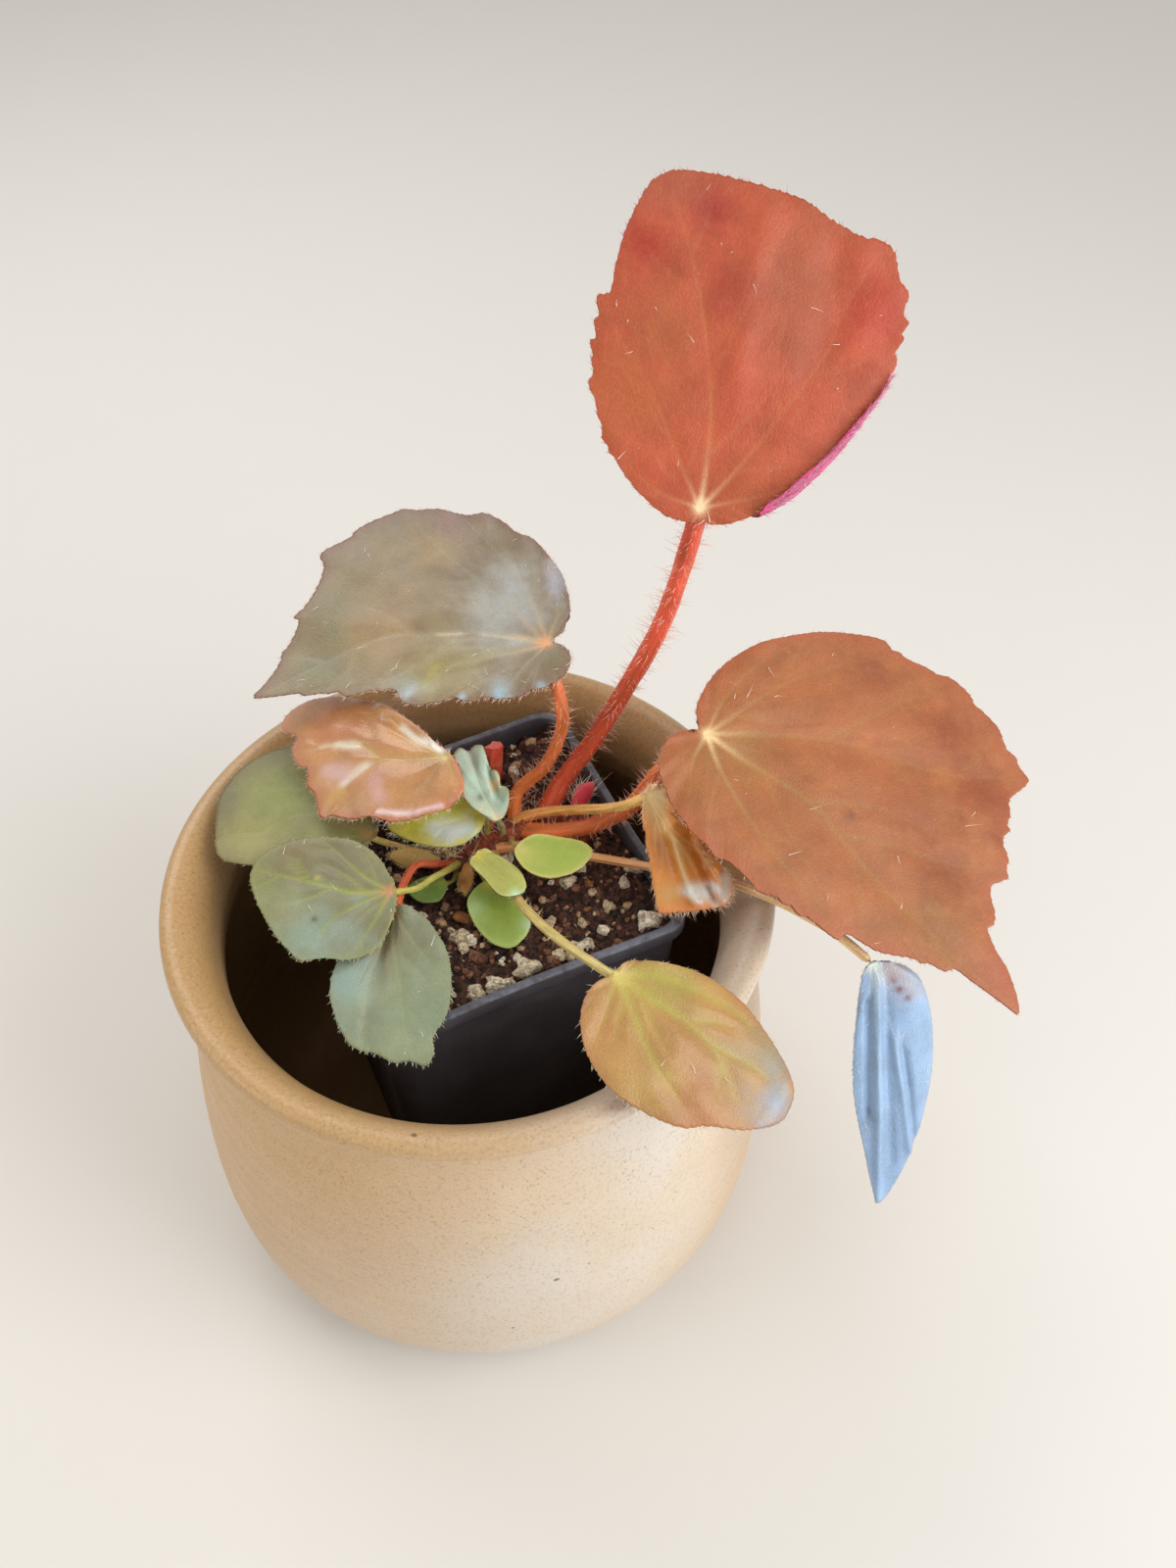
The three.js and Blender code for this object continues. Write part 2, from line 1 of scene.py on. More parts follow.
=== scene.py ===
"""Potted garnet begonia: the visual model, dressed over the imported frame."""

import logging
import math
from collections.abc import Callable, Sequence
from dataclasses import dataclass, field, replace
from enum import Enum

import bpy
import numpy as np
from mathutils import Matrix


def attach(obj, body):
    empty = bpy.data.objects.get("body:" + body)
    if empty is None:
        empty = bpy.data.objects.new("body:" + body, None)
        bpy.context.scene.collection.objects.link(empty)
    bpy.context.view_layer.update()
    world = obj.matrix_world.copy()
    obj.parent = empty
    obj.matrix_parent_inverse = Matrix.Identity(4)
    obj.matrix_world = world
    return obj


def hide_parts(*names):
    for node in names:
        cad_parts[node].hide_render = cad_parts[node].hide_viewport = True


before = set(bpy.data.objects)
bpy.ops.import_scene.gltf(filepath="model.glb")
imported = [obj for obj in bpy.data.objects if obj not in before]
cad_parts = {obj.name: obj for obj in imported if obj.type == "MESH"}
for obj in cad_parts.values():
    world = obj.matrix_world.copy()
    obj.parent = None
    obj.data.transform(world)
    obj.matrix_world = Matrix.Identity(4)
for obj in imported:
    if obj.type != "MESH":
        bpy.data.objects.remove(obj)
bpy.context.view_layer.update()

LOG = logging.getLogger("begonia")
MM = 0.001
BODY = "root"
WELD = 2e-6  # metres between corners that become one
EDGE_SHADE = 0.6  # brightness of a blade's edge
MOST_ROLLED = 2.95  # radians that a margin rolls up
MOST_CURLED = 2.6  # radians that a blade curls back

Array = np.ndarray
Chance = np.random.Generator
Piece = bpy.types.Object
Mesh = bpy.types.Mesh
Coating = bpy.types.Material
Point = tuple[float, float, float]
Spot = tuple[float, float]
Colour = tuple[float, float, float]
Patch = tuple[float, ...]
Crease = tuple[float, ...]
Step = Callable[[], object]
Tints = dict[str, Array]
Placing = Callable[[Array, Array], Array]
Tinting = Callable[[Array, Array], Tints]


def paint(code: int) -> Colour:
    """Turns a screen colour such as 0xC46042 into the linear one that shaders use."""
    parts = ((code >> shift & 255) / 255 for shift in (16, 8, 0))
    return tuple(((c + 0.055) / 1.055) ** 2.4 if c > 0.04 else c / 12.92 for c in parts)


def ink(code: int) -> Array:
    """Turns a screen colour into a row of linear numbers."""
    return np.array(paint(code))


def blend(colour: Array, code: int, share: Array) -> Array:
    """Lays a screen colour over colours, by its share in each row."""
    return colour * (1 - share) + ink(code) * share


def soft_white(random: Chance, dark: int, pale: int) -> Colour:
    """Draws one tint between two screen colours."""
    share = random.uniform()
    return tuple((1 - share) * a + share * b for a, b in zip(paint(dark), paint(pale)))


def rows(text: str) -> list[tuple[float, ...]]:
    """Reads rows of numbers: commas part the rows, spaces the numbers."""
    return [tuple(map(float, row.split())) for row in text.split(",")]


def patches(text: str) -> list[Patch]:
    """Reads patches of colour: one end or two, radius, colour and strength in each."""
    table = [row.split() for row in text.split(",")]
    return [(*map(float, row[:-2]), int(row[-2], 16), float(row[-1])) for row in table]


# Geometry helpers


def unit(vectors: Array) -> Array:
    """Gives one vector, or each row of many, the length 1."""
    return vectors / np.linalg.norm(vectors, axis=1 if vectors.ndim > 1 else None, keepdims=True)


def pick(table: Array, share: Array) -> Array:
    """Takes rows of a table by their share of the way down it."""
    return table[np.rint(share * (len(table) - 1)).astype(int)]


def turn_of(across: Array, around: int) -> Array:
    """Gives the angle of each cell's corner round a closed piece."""
    return np.rint(across * around) % around * 2 * math.pi / around


def smooth_path(points: Sequence[Sequence[float]], count: int, closed: bool = False) -> Array:
    """Lays an even row of points along a centripetal Catmull-Rom curve.

    Args:
        points: the points that the curve runs through.
        count: how many points to return.
        closed: whether the curve comes back to its start.

    Returns:
        One row for each point, evenly spaced by length.
    """
    knots = np.array(points, float)
    if closed:
        knots = np.vstack([knots[-1], knots, knots[0], knots[1]])
    else:
        knots = np.vstack([2 * knots[0] - knots[1], knots, 2 * knots[-1] - knots[-2]])
    pieces = []
    for a, b, c, d in zip(knots, knots[1:], knots[2:], knots[3:]):
        steps = [max(math.sqrt(np.linalg.norm(q - p)), 1e-6) for p, q in ((a, b), (b, c), (c, d))]
        out = steps[1] * ((b - a) / steps[0] - (c - a) / (steps[0] + steps[1]) + (c - b) / steps[1])
        into = steps[1] * ((c - b) / steps[1] - (d - b) / (steps[1] + steps[2]) + (d - c) / steps[2])
        t = np.linspace(0, 1, 41)[:-1, None]
        pieces.append(
            b * (2 * t**3 - 3 * t**2 + 1) + out * (t**3 - 2 * t**2 + t) + c * (3 * t**2 - 2 * t**3)
            + into * (t**3 - t**2)
        )
    dense = np.vstack([*pieces, knots[-2][None]])
    lengths = np.concatenate([[0], np.cumsum(np.linalg.norm(np.diff(dense, axis=0), axis=1))])
    places = np.linspace(0, lengths[-1], count, endpoint=not closed)
    return np.stack([np.interp(places, lengths, dense[:, axis]) for axis in range(dense.shape[1])], 1)


def unevenness(points: Array, wavelength: float, seed: int, octaves: int = 3) -> Array:
    """Makes smooth random values between about -1 and 1 over points, as a sum of waves.

    Args:
        points: places in millimetres, one row each.
        wavelength: size of the largest bumps, in millimetres.
        seed: picks the pattern.
        octaves: how many layers there are, each finer than the last.

    Returns:
        One value for each point.
    """
    random = np.random.default_rng(seed)
    total = np.zeros(len(points))
    for octave in range(octaves):
        for _ in range(6):
            direction = random.normal(size=points.shape[1])
            direction *= 2 * math.pi * 2**octave / (wavelength * np.linalg.norm(direction))
            direction *= random.uniform(0.6, 1.4)
            total += np.sin(points @ direction + random.uniform(0, 2 * math.pi)) / (2.2 * 1.8**octave)
    return total / 1.6


def gap_to(flat: Array, start: Sequence[float], end: Sequence[float]) -> Array:
    """Measures how far places on a plane lie from the line between two points.

    Args:
        flat: the places, one row each.
        start: one end of the line.
        end: its other end.

    Returns:
        One distance for each place.
    """
    start, run = np.array(start, float), np.subtract(end, start)
    share = limited((flat - start) @ run / max(run @ run, 1e-9))
    return np.linalg.norm(flat - start - share[:, None] * run, axis=1)


def limited(values: Array) -> Array:
    """Keeps values from 0 to 1."""
    return np.clip(values, 0, 1)


def step_lengths(loop: Array) -> Array:
    """Measures the way from each point of a closed line to the next."""
    return np.linalg.norm(np.diff(loop, axis=0, append=loop[:1]), axis=1)


def soft(gap: Array, width: float) -> Array:
    """Falls softly from 1 to 0 with a distance."""
    return np.exp(-((gap / width) ** 2))


def deselect() -> None:
    """Deselects every object."""
    bpy.ops.object.select_all(action="DESELECT")


def activate(piece: Piece) -> None:
    """Selects one piece alone and makes it the active one."""
    deselect()
    piece.select_set(True)
    bpy.context.view_layer.objects.active = piece


def edit(*steps: Step) -> None:
    """Runs steps on the active mesh in edit mode.

    Args:
        steps: calls of operators, each made with the whole mesh selected.
    """
    bpy.ops.object.mode_set(mode="EDIT")
    for step in steps:
        bpy.ops.mesh.select_all(action="SELECT")
        step()
    bpy.ops.object.mode_set(mode="OBJECT")


def cuts(heights: Sequence[float], slope: Point) -> list[Step]:
    """Makes steps for edit mode that cut a mesh at heights, across a slope."""
    return [lambda h=height: bpy.ops.mesh.bisect(plane_co=(0, 0, h), plane_no=slope) for height in heights]


def corners_of(mesh: Mesh) -> Array:
    """Lists a mesh's corners, one row each."""
    return np.array([vertex.co[:] for vertex in mesh.vertices])


def move_corners(mesh: Mesh, places: Array) -> None:
    """Puts a mesh's corners at places in millimetres."""
    mesh.vertices.foreach_set("co", (places * MM).astype(np.float32).ravel())


def apply_modifier(piece: Piece, kind: str, **settings: object) -> None:
    """Adds a modifier to a piece and applies it.

    Args:
        piece: the piece.
        kind: the modifier's type.
        settings: its properties.
    """
    activate(piece)
    modifier = piece.modifiers.new(kind.title(), kind)
    for name, value in settings.items():
        setattr(modifier, name, value)
    bpy.ops.object.modifier_apply(modifier=modifier.name)


def store(mesh: Mesh, label: str, values: Array) -> None:
    """Keeps a value or a colour for each corner of a mesh.

    Args:
        mesh: the mesh.
        label: name of the attribute.
        values: one number or one colour for each corner.
    """
    if values.ndim == 1:
        mesh.attributes.new(label, "FLOAT", "POINT").data.foreach_set("value", values.astype(np.float32))
        return
    opaque = np.column_stack([values, np.ones(len(values))]).astype(np.float32)
    mesh.attributes.new(label, "FLOAT_COLOR", "POINT").data.foreach_set("color", opaque.ravel())


def shaped_grid(name: str, columns: int, rows: int, place: Placing, tints: Tinting, closed: bool = True) -> Piece:
    """Bends a flat grid into a surface and welds what comes to lie together.

    Args:
        name: name of the piece.
        columns: number of cells across, which run round the piece.
        rows: number of cells along.
        place: gives points in millimetres for shares across and along, both from 0 to 1.
        tints: gives named values or colours for the same shares, kept as attributes.
        closed: whether the welded surface is a closed body.

    Returns:
        The new object, smooth shaded.
    """
    deselect()
    bpy.ops.mesh.primitive_grid_add(x_subdivisions=columns, y_subdivisions=rows, size=1)
    piece = bpy.context.object
    mesh = piece.data
    piece.name = mesh.name = name
    flat = np.empty(len(mesh.vertices) * 3, np.float32)
    mesh.vertices.foreach_get("co", flat)
    across, along = limited(flat.reshape(-1, 3)[:, :2].T.astype(float) + 0.5)
    move_corners(mesh, place(across, along))
    mesh.uv_layers.remove(mesh.uv_layers[0])
    for label, values in tints(across, along).items():
        store(mesh, label, values)
    edit(
        lambda: bpy.ops.mesh.remove_doubles(threshold=WELD),
        lambda: bpy.ops.mesh.dissolve_degenerate(threshold=WELD / 2),
        lambda: closed and bpy.ops.mesh.normals_make_consistent(inside=False),
    )
    bpy.ops.object.shade_smooth()
    return piece


def face_towards(piece: Piece, direction: Array) -> None:
    """Flips an open sheet whose faces look away from a direction.

    Args:
        piece: the sheet, which is the active object.
        direction: where its upper side should face.
    """
    normals = np.empty(len(piece.data.polygons) * 3, np.float32)
    piece.data.polygons.foreach_get("normal", normals)
    if normals.reshape(-1, 3).mean(0) @ direction <= 0:
        edit(lambda: bpy.ops.mesh.flip_normals())


def finish_piece(piece: Piece, finishes: Sequence[Coating], slot: str, *nodes: str) -> Piece:
    """Dresses a piece, lets it ride on the object and hides the CAD nodes that it stands for.

    Args:
        piece: the piece.
        finishes: its materials.
        slot: not used.
        nodes: the CAD nodes that it replaces.

    Returns:
        The same piece.
    """
    for finish in finishes:
        piece.data.materials.append(finish)
    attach(piece, BODY)
    if nodes:
        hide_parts(*nodes)
    LOG.info("%s: %d faces", piece.name, len(piece.data.polygons))
    return piece


@dataclass
class Spine:
    """A centre line with two directions across it at each point."""

    line: Array
    ahead: Array
    side: Array
    other: Array

    @classmethod
    def along(cls, path: Sequence[Point], steps: int, level: Point) -> "Spine":
        """Lays a spine along a path.

        Args:
            path: the points that it runs through.
            steps: number of steps.
            level: a direction that the side stands square to.

        Returns:
            The spine.
        """
        line = smooth_path(path, steps + 1)
        ahead = unit(np.gradient(line, axis=0))
        side = unit(np.cross(ahead, level))
        return cls(line, ahead, side, np.cross(ahead, side))

    def point(self, along: Array, side: Array, other: Array) -> Array:
        """Gives points by their share along the line and how far they lie to both sides."""
        line, to_side, to_other = (pick(table, along) for table in (self.line, self.side, self.other))
        return line + to_side * side[:, None] + to_other * other[:, None]


@dataclass
class Pattern:
    """A small mesh that is modelled once and copied many times."""

    corners: Array
    faces: list[tuple[int, ...]]

    @classmethod
    def taken_from(cls, piece: Piece) -> "Pattern":
        """Takes an object's mesh as the pattern and removes the object.

        Args:
            piece: the modelled object.

        Returns:
            The pattern.
        """
        mesh = piece.data
        pattern = cls(corners_of(mesh), [tuple(face.vertices) for face in mesh.polygons])
        bpy.data.objects.remove(piece)
        bpy.data.meshes.remove(mesh)
        return pattern

    def copies(self, name: str, bodies: Sequence[Array], colours: Sequence[Colour]) -> Piece:
        """Makes one object from many copies of the pattern.

        Args:
            name: name of the new piece.
            bodies: the corners of each copy, in millimetres.
            colours: the tint of each copy.

        Returns:
            The new object.
        """
        size = len(self.corners)
        mesh = bpy.data.meshes.new(name)
        faces = [tuple(i + size * k for i in face) for k in range(len(bodies)) for face in self.faces]
        mesh.from_pydata((np.vstack(bodies) * MM).tolist(), [], faces)
        store(mesh, "tint", np.repeat(np.array(colours), size, axis=0))
        piece = bpy.data.objects.new(name, mesh)
        bpy.context.collection.objects.link(piece)
        return piece


def hair_pattern() -> Pattern:
    """Models one straight three-sided hair, a unit long and thick, that ends in a point."""
    deselect()
    bpy.ops.mesh.primitive_cone_add(vertices=3, radius1=1, radius2=0, depth=1, location=(0, 0, 0.5))
    bpy.ops.object.transform_apply(location=True)
    edit(*cuts((0.35, 0.7), (0, 0, 1)))
    return Pattern.taken_from(bpy.context.object)


def grain_pattern(rounds: int) -> Pattern:
    """Models one ball of triangles with radius 1, divided a number of rounds."""
    deselect()
    bpy.ops.mesh.primitive_ico_sphere_add(subdivisions=rounds, radius=1)
    return Pattern.taken_from(bpy.context.object)


def chip_pattern() -> Pattern:
    """Models one flat chip with broken corners, about 2 units long."""
    deselect()
    bpy.ops.mesh.primitive_cube_add(size=1)
    chip = bpy.context.object
    apply_modifier(chip, "BEVEL", width=0.16, segments=1)
    pattern = Pattern.taken_from(chip)
    pattern.corners *= (2, 1.1, 0.4)
    return pattern


# Shader helpers


class Value:
    """A shader socket that turns expressions into Math nodes."""

    def __init__(self, tree: bpy.types.NodeTree, socket: bpy.types.NodeSocket) -> None:
        """Wraps a socket of a node tree."""
        self.tree = tree
        self.socket = socket

    def _math(self, operation: str, *terms: "Value | float") -> "Value":
        """Adds a Math node.

        Args:
            operation: the Math node's operation.
            terms: its inputs, sockets or numbers.

        Returns:
            The node's result.
        """
        node = self.tree.nodes.new("ShaderNodeMath")
        node.operation = operation
        for socket, term in zip(node.inputs, terms):
            if isinstance(term, Value):
                self.tree.links.new(term.socket, socket)
            else:
                socket.default_value = term
        return Value(self.tree, node.outputs[0])

    def __add__(self, other: "Value | float") -> "Value":
        """Adds."""
        return self._math("ADD", self, other)

    def __sub__(self, other: "Value | float") -> "Value":
        """Subtracts."""
        return self._math("SUBTRACT", self, other)

    def __rsub__(self, other: "Value | float") -> "Value":
        """Subtracts from a number."""
        return self._math("SUBTRACT", other, self)

    def __mul__(self, other: "Value | float") -> "Value":
        """Multiplies."""
        return self._math("MULTIPLY", self, other)

    __radd__ = __add__
    __rmul__ = __mul__


class Surface:
    """One material's node tree, with a Principled shader at its end and a colour that is laid on in layers."""

    def __init__(self, name: str, roughness: float = 0.5, **constants: object) -> None:
        """Starts a material.

        Args:
            name: the material's name.
            roughness: roughness where no value is linked.
            constants: values set on the shader's own sockets, with _ for each space.
        """
        self.material = bpy.data.materials.new(name)
        self.material.use_nodes = True
        self.tree = self.material.node_tree
        self.shader = self.tree.nodes["Principled BSDF"]
        for label, value in {"Roughness": roughness, **constants}.items():
            self.shader.inputs[label.replace("_", " ")].default_value = value
        self.place = self.node("ShaderNodeTexCoord", {}, {}, "Object")
        self.colour: Value | Colour = (0.0, 0.0, 0.0)

    def node(self, kind: str, settings: dict, sockets: dict, output: str | int = 0) -> Value:
        """Adds any node.

        Args:
            kind: the node's type.
            settings: its properties, set before its sockets.
            sockets: values or links by socket name or number.
            output: which output to give back.

        Returns:
            That output.
        """
        node = self.tree.nodes.new(kind)
        for label, value in settings.items():
            setattr(node, label, value)
        for label, value in sockets.items():
            if isinstance(value, Value):
                self.tree.links.new(value.socket, node.inputs[label])
            else:
                node.inputs[label].default_value = value
        return Value(self.tree, node.outputs[output])

    def noise(self, size: float, detail: float = 3, rough: float = 0.55, place: Value | None = None) -> Value:
        """Adds noise whose patches have a size in millimetres."""
        sockets = {"Vector": place or self.place, "Scale": 1 / (size * MM), "Detail": detail, "Roughness": rough}
        return self.node("ShaderNodeTexNoise", {}, sockets, "Fac")

    def cells(self, size: float, feature: str = "F1") -> Value:
        """Adds the distances of a cell pattern whose cells have a size in millimetres."""
        sockets = {"Vector": self.place, "Scale": 1 / (size * MM)}
        return self.node("ShaderNodeTexVoronoi", {"feature": feature}, sockets, "Distance")

    def between(self, value: Value, low: float, high: float) -> Value:
        """Maps a value smoothly to 0 at low and 1 at high."""
        settings = {"interpolation_type": "SMOOTHSTEP"}
        return self.node("ShaderNodeMapRange", settings, {"Value": value, "From Min": low, "From Max": high})

    def lay(self, share: Value | float, tone: Value | Colour, mode: str = "MIX") -> None:
        """Lays a tone over the colour.

        Args:
            share: the tone's share.
            tone: the tone.
            mode: how it blends.
        """
        under, over = (c if isinstance(c, Value) else (*c, 1) for c in (self.colour, tone))
        settings = {"data_type": "RGBA", "blend_type": mode}
        self.colour = self.node("ShaderNodeMix", settings, {0: share, 6: under, 7: over}, 2)

    def patch(
        self, value: Value, low: float, high: float, share: Value | float, tone: Value | Colour, mode: str = "MIX"
    ) -> None:
        """Lays a tone where a value rises from low to high, or falls where low is the larger.

        Args:
            value: the value.
            low: where the tone begins.
            high: where it is full.
            share: its share there.
            tone: the tone.
            mode: how it blends.
        """
        self.lay(self.between(value, low, high) * share, tone, mode)

    def tint(self, label: str = "tint") -> Value:
        """Reads the colour painted on the mesh."""
        return self.node("ShaderNodeAttribute", {"attribute_name": label}, {}, "Color")

    def level(self, label: str) -> Value:
        """Reads a value painted on the mesh."""
        return self.node("ShaderNodeAttribute", {"attribute_name": label}, {}, "Fac")

    def link(self, label: str, value: Value) -> None:
        """Links a value to one of the shader's sockets."""
        self.tree.links.new(value.socket, self.shader.inputs[label])

    def finished(self, roughness: Value, height: Value, depth: float, strength: float) -> Coating:
        """Links the colour, the roughness and the bumps to the shader.

        Args:
            roughness: the roughness.
            height: height of the bumps, from 0 to 1.
            depth: their real height, in millimetres.
            strength: how strongly they show.

        Returns:
            The material.
        """
        bumps = self.node(
            "ShaderNodeBump", {}, {"Height": height, "Distance": depth * MM, "Strength": strength}, "Normal"
        )
        for label, value in {"Base Color": self.colour, "Roughness": roughness, "Normal": bumps}.items():
            self.link(label, value)
        return self.material


# Finishes


@dataclass(frozen=True)
class Stoneware:
    """Finely speckled buff stoneware under a thin satin glaze, browner on the rim, with painted shade low down inside
    and a painted sheen on its lit front-right side.
    """

    body: Colour = paint(0xC6A171)
    warm: Colour = paint(0xB88D59)
    pale: Colour = paint(0xD6BD92)
    speck: Colour = paint(0x5E4228)
    rim: Colour = paint(0xB48C56)
    # painted shade, deeper low down inside the pot
    shade: Colour = paint(0x9A7C4C)
    # painted sheen of light on the lit front-right side
    washed: Colour = paint(0xDBDCDA)
    marks: tuple[Patch, ...] = tuple(rows(
        "-6.8 -70.2 130.7 0.8, -13.7 -67.9 117 0.6, -15.6 -67.4 116.5 0.45, -4 -71.4 131 0.35, "
        "22.7 -75.3 63.5 0.85, 11.5 -79.7 41.3 0.6, 39.2 -62.8 95 0.5, -36 -70.1 58.6 0.5, 30.6 -72.1 66 0.4, "
        "12 -77.8 66 0.35, -8 -74.5 92 0.35, 2 -75.4 86 0.3"
    ))

    def material(self) -> Coating:
        """Builds the material."""
        surface = Surface("stoneware", Coat_Weight=0.4, Coat_Roughness=0.3)
        clouds = surface.between(surface.noise(45, 3), 0.3, 0.75)
        surface.colour = self.body
        surface.lay(clouds * 0.5, self.warm)
        surface.patch(surface.noise(16, 4), 0.42, 0.8, 0.22, self.pale)
        surface.lay(surface.level("rim") * 0.6, self.rim)
        # painted sheen of light on the front right of the outside
        surface.patch(clouds, -1.6, 1.4, surface.level("washed") * 0.66, self.washed)
        grains = surface.noise(0.8, 4, 0.7)
        surface.patch(grains, 0.5, 0.7, 0.36, self.speck)
        surface.patch(grains, 0.46, 0.3, 0.36, self.pale)
        sparse = surface.between(surface.noise(9, 2), 0.42, 0.58)
        surface.patch(surface.cells(2.2), 0.13, 0.06, sparse * 0.75, self.speck)
        # painted shade inside the pot, darker further down
        surface.lay(surface.level("inside") * 0.55, self.shade)
        frayed = surface.noise(0.9, 2) - 0.5
        for *place, radius in self.marks:
            sockets = {0: surface.place, 1: [part * MM for part in place]}
            gap = surface.node("ShaderNodeVectorMath", {"operation": "DISTANCE"}, sockets, "Value")
            surface.patch(gap + frayed * (radius * MM), radius * MM, 0.6 * radius * MM, 0.8, self.speck)
        pits = surface.between(surface.cells(2.4), 0.02, 0.12)
        relief = 0.5 * surface.noise(0.9, 4) + 0.3 * pits + 0.5 * surface.noise(5, 2)
        return surface.finished(0.48 + 0.2 * surface.noise(6, 3) - 0.16 * surface.level("rim"), relief, 0.16, 0.5)


@dataclass(frozen=True)
class BlackPlastic:
    """Moulded black plastic with a grey bloom, scuffs and a worn pale lip."""

    body: Colour = paint(0x4A4850)
    bloom: Colour = paint(0x6E6C76)
    dust: Colour = paint(0x786858)
    worn: Colour = paint(0x8A92A0)

    def material(self) -> Coating:
        """Builds the material."""
        surface = Surface("black_plastic", Specular_IOR_Level=0.5)
        surface.colour = self.body
        bloom = surface.between(surface.noise(22, 4), 0.42, 0.75)
        surface.lay(bloom * 0.4, self.bloom)
        surface.patch(surface.noise(2.2, 5, 0.7), 0.6, 0.82, 0.4, self.dust)
        surface.patch(surface.noise(3.2, 4, 0.65), 0.34, 0.6, surface.level("wear") * 0.5, self.worn)
        stretched = surface.node("ShaderNodeMapping", {}, {"Vector": surface.place, "Scale": (1, 1, 0.08)})
        scuffs = surface.noise(0.7, 3, 0.6, stretched)
        surface.patch(scuffs, 0.62, 0.75, 0.18, self.worn)
        roughness = 0.34 + 0.3 * surface.noise(4, 4) + 0.15 * bloom
        return surface.finished(roughness, surface.noise(0.5, 3) + 0.6 * scuffs, 0.06, 0.5)


@dataclass(frozen=True)
class PottingMix:
    """Moist peat, brown and fibrous on top, with painted shade that keeps its hollows nearly black."""

    # nearly black: the peat's dark colour with painted shade in the hollows
    hollow_shade: Colour = paint(0x140A08)
    peat: Colour = paint(0x6A4434)
    dry: Colour = paint(0xA47A56)

    def material(self) -> Coating:
        """Builds the material."""
        surface = Surface("potting_mix")
        # painted shade: the near-black base stays where the crumb pattern, which also gives the bumps, is low
        surface.colour = self.hollow_shade
        crumbs = surface.noise(1.5, 6, 0.68)
        surface.patch(crumbs, 0.36, 0.62, 1, self.peat)
        surface.patch(surface.noise(0.8, 5, 0.7), 0.58, 0.75, 0.7, self.dry)
        surface.lay(0.5, surface.tint(), "MULTIPLY")
        relief = crumbs + 0.5 * surface.noise(0.5, 4, 0.7)
        return surface.finished(0.55 + 0.45 * surface.noise(2, 3), relief, 0.9, 0.9)


@dataclass(frozen=True)
class Grain:
    """Perlite, crumbs and bark: a tint with patches of dirt, and painted shade in its pores."""

    name: str
    # dirt in patches, and the painted shade in the pores
    dirt_and_pit_shade: Colour
    dirtiness: float
    pore: float
    roughness: float = 0.8

    def material(self) -> Coating:
        """Builds the material."""
        surface = Surface(self.name)
        surface.colour = surface.tint()
        surface.patch(surface.noise(1.3, 5, 0.7), 0.44, 0.62, self.dirtiness, self.dirt_and_pit_shade)
        pores = surface.cells(self.pore)
        # painted shade: the pores, the pits of the bumps, are darkened
        surface.patch(pores, 0.25, 0.05, 0.85, self.dirt_and_pit_shade)
        roughness = self.roughness - 0.25 * surface.noise(1.5, 2)
        return surface.finished(roughness, pores + surface.noise(0.4, 4), 0.35, 0.8)


@dataclass(frozen=True)
class Flesh:
    """Living tissue in the colour painted on it, with fine cells, streaks and a soft gloss."""

    name: str
    roughness: float
    coat: float
    bump: float
    cell: float
    glow: float

    def material(self) -> Coating:
        """Builds the material."""
        surface = Surface(
            self.name, Coat_Weight=self.coat, Coat_Roughness=0.28, Subsurface_Weight=self.glow,
            Subsurface_Radius=(0.0016, 0.0007, 0.0004), Subsurface_Scale=1.0,
        )
        surface.colour = surface.tint()
        mottle, pebbles = surface.noise(3.2, 4, 0.6), surface.cells(self.cell)
        surface.patch(mottle, 0.5, 0.78, 0.3, (0.55, 0.5, 0.48), "MULTIPLY")
        surface.patch(mottle, 0.46, 0.24, 0.06, (0.3, 0.26, 0.2), "ADD")
        net = surface.between(surface.cells(self.cell * 3.4, "DISTANCE_TO_EDGE"), 0.09, 0.0)
        surface.lay(net * 0.04, (0.45, 0.42, 0.3), "ADD")
        surface.patch(pebbles, 0.1, 0.5, 0.16, (0.35, 0.3, 0.3), "MULTIPLY")
        relief = 0.7 * (1 - pebbles) + 0.5 * surface.noise(1.4, 3) - 0.4 * net
        return surface.finished(self.roughness - 0.1 + 0.22 * surface.noise(2.4, 4, 0.65), relief, self.bump, 0.7)


@dataclass(frozen=True)
class HairFinish:
    """Fine see-through hairs."""

    name: str

    def material(self) -> Coating:
        """Builds the material."""
        surface = Surface(self.name, Subsurface_Weight=0.2, Subsurface_Radius=(0.001, 0.0007, 0.0005))
        surface.colour = surface.tint()
        surface.lay(surface.noise(0.8, 3) * 0.4, (0.9, 0.85, 0.75))
        return surface.finished(0.3 + 0.2 * surface.noise(1.2, 2), surface.noise(0.3, 2), 0.02, 0.4)


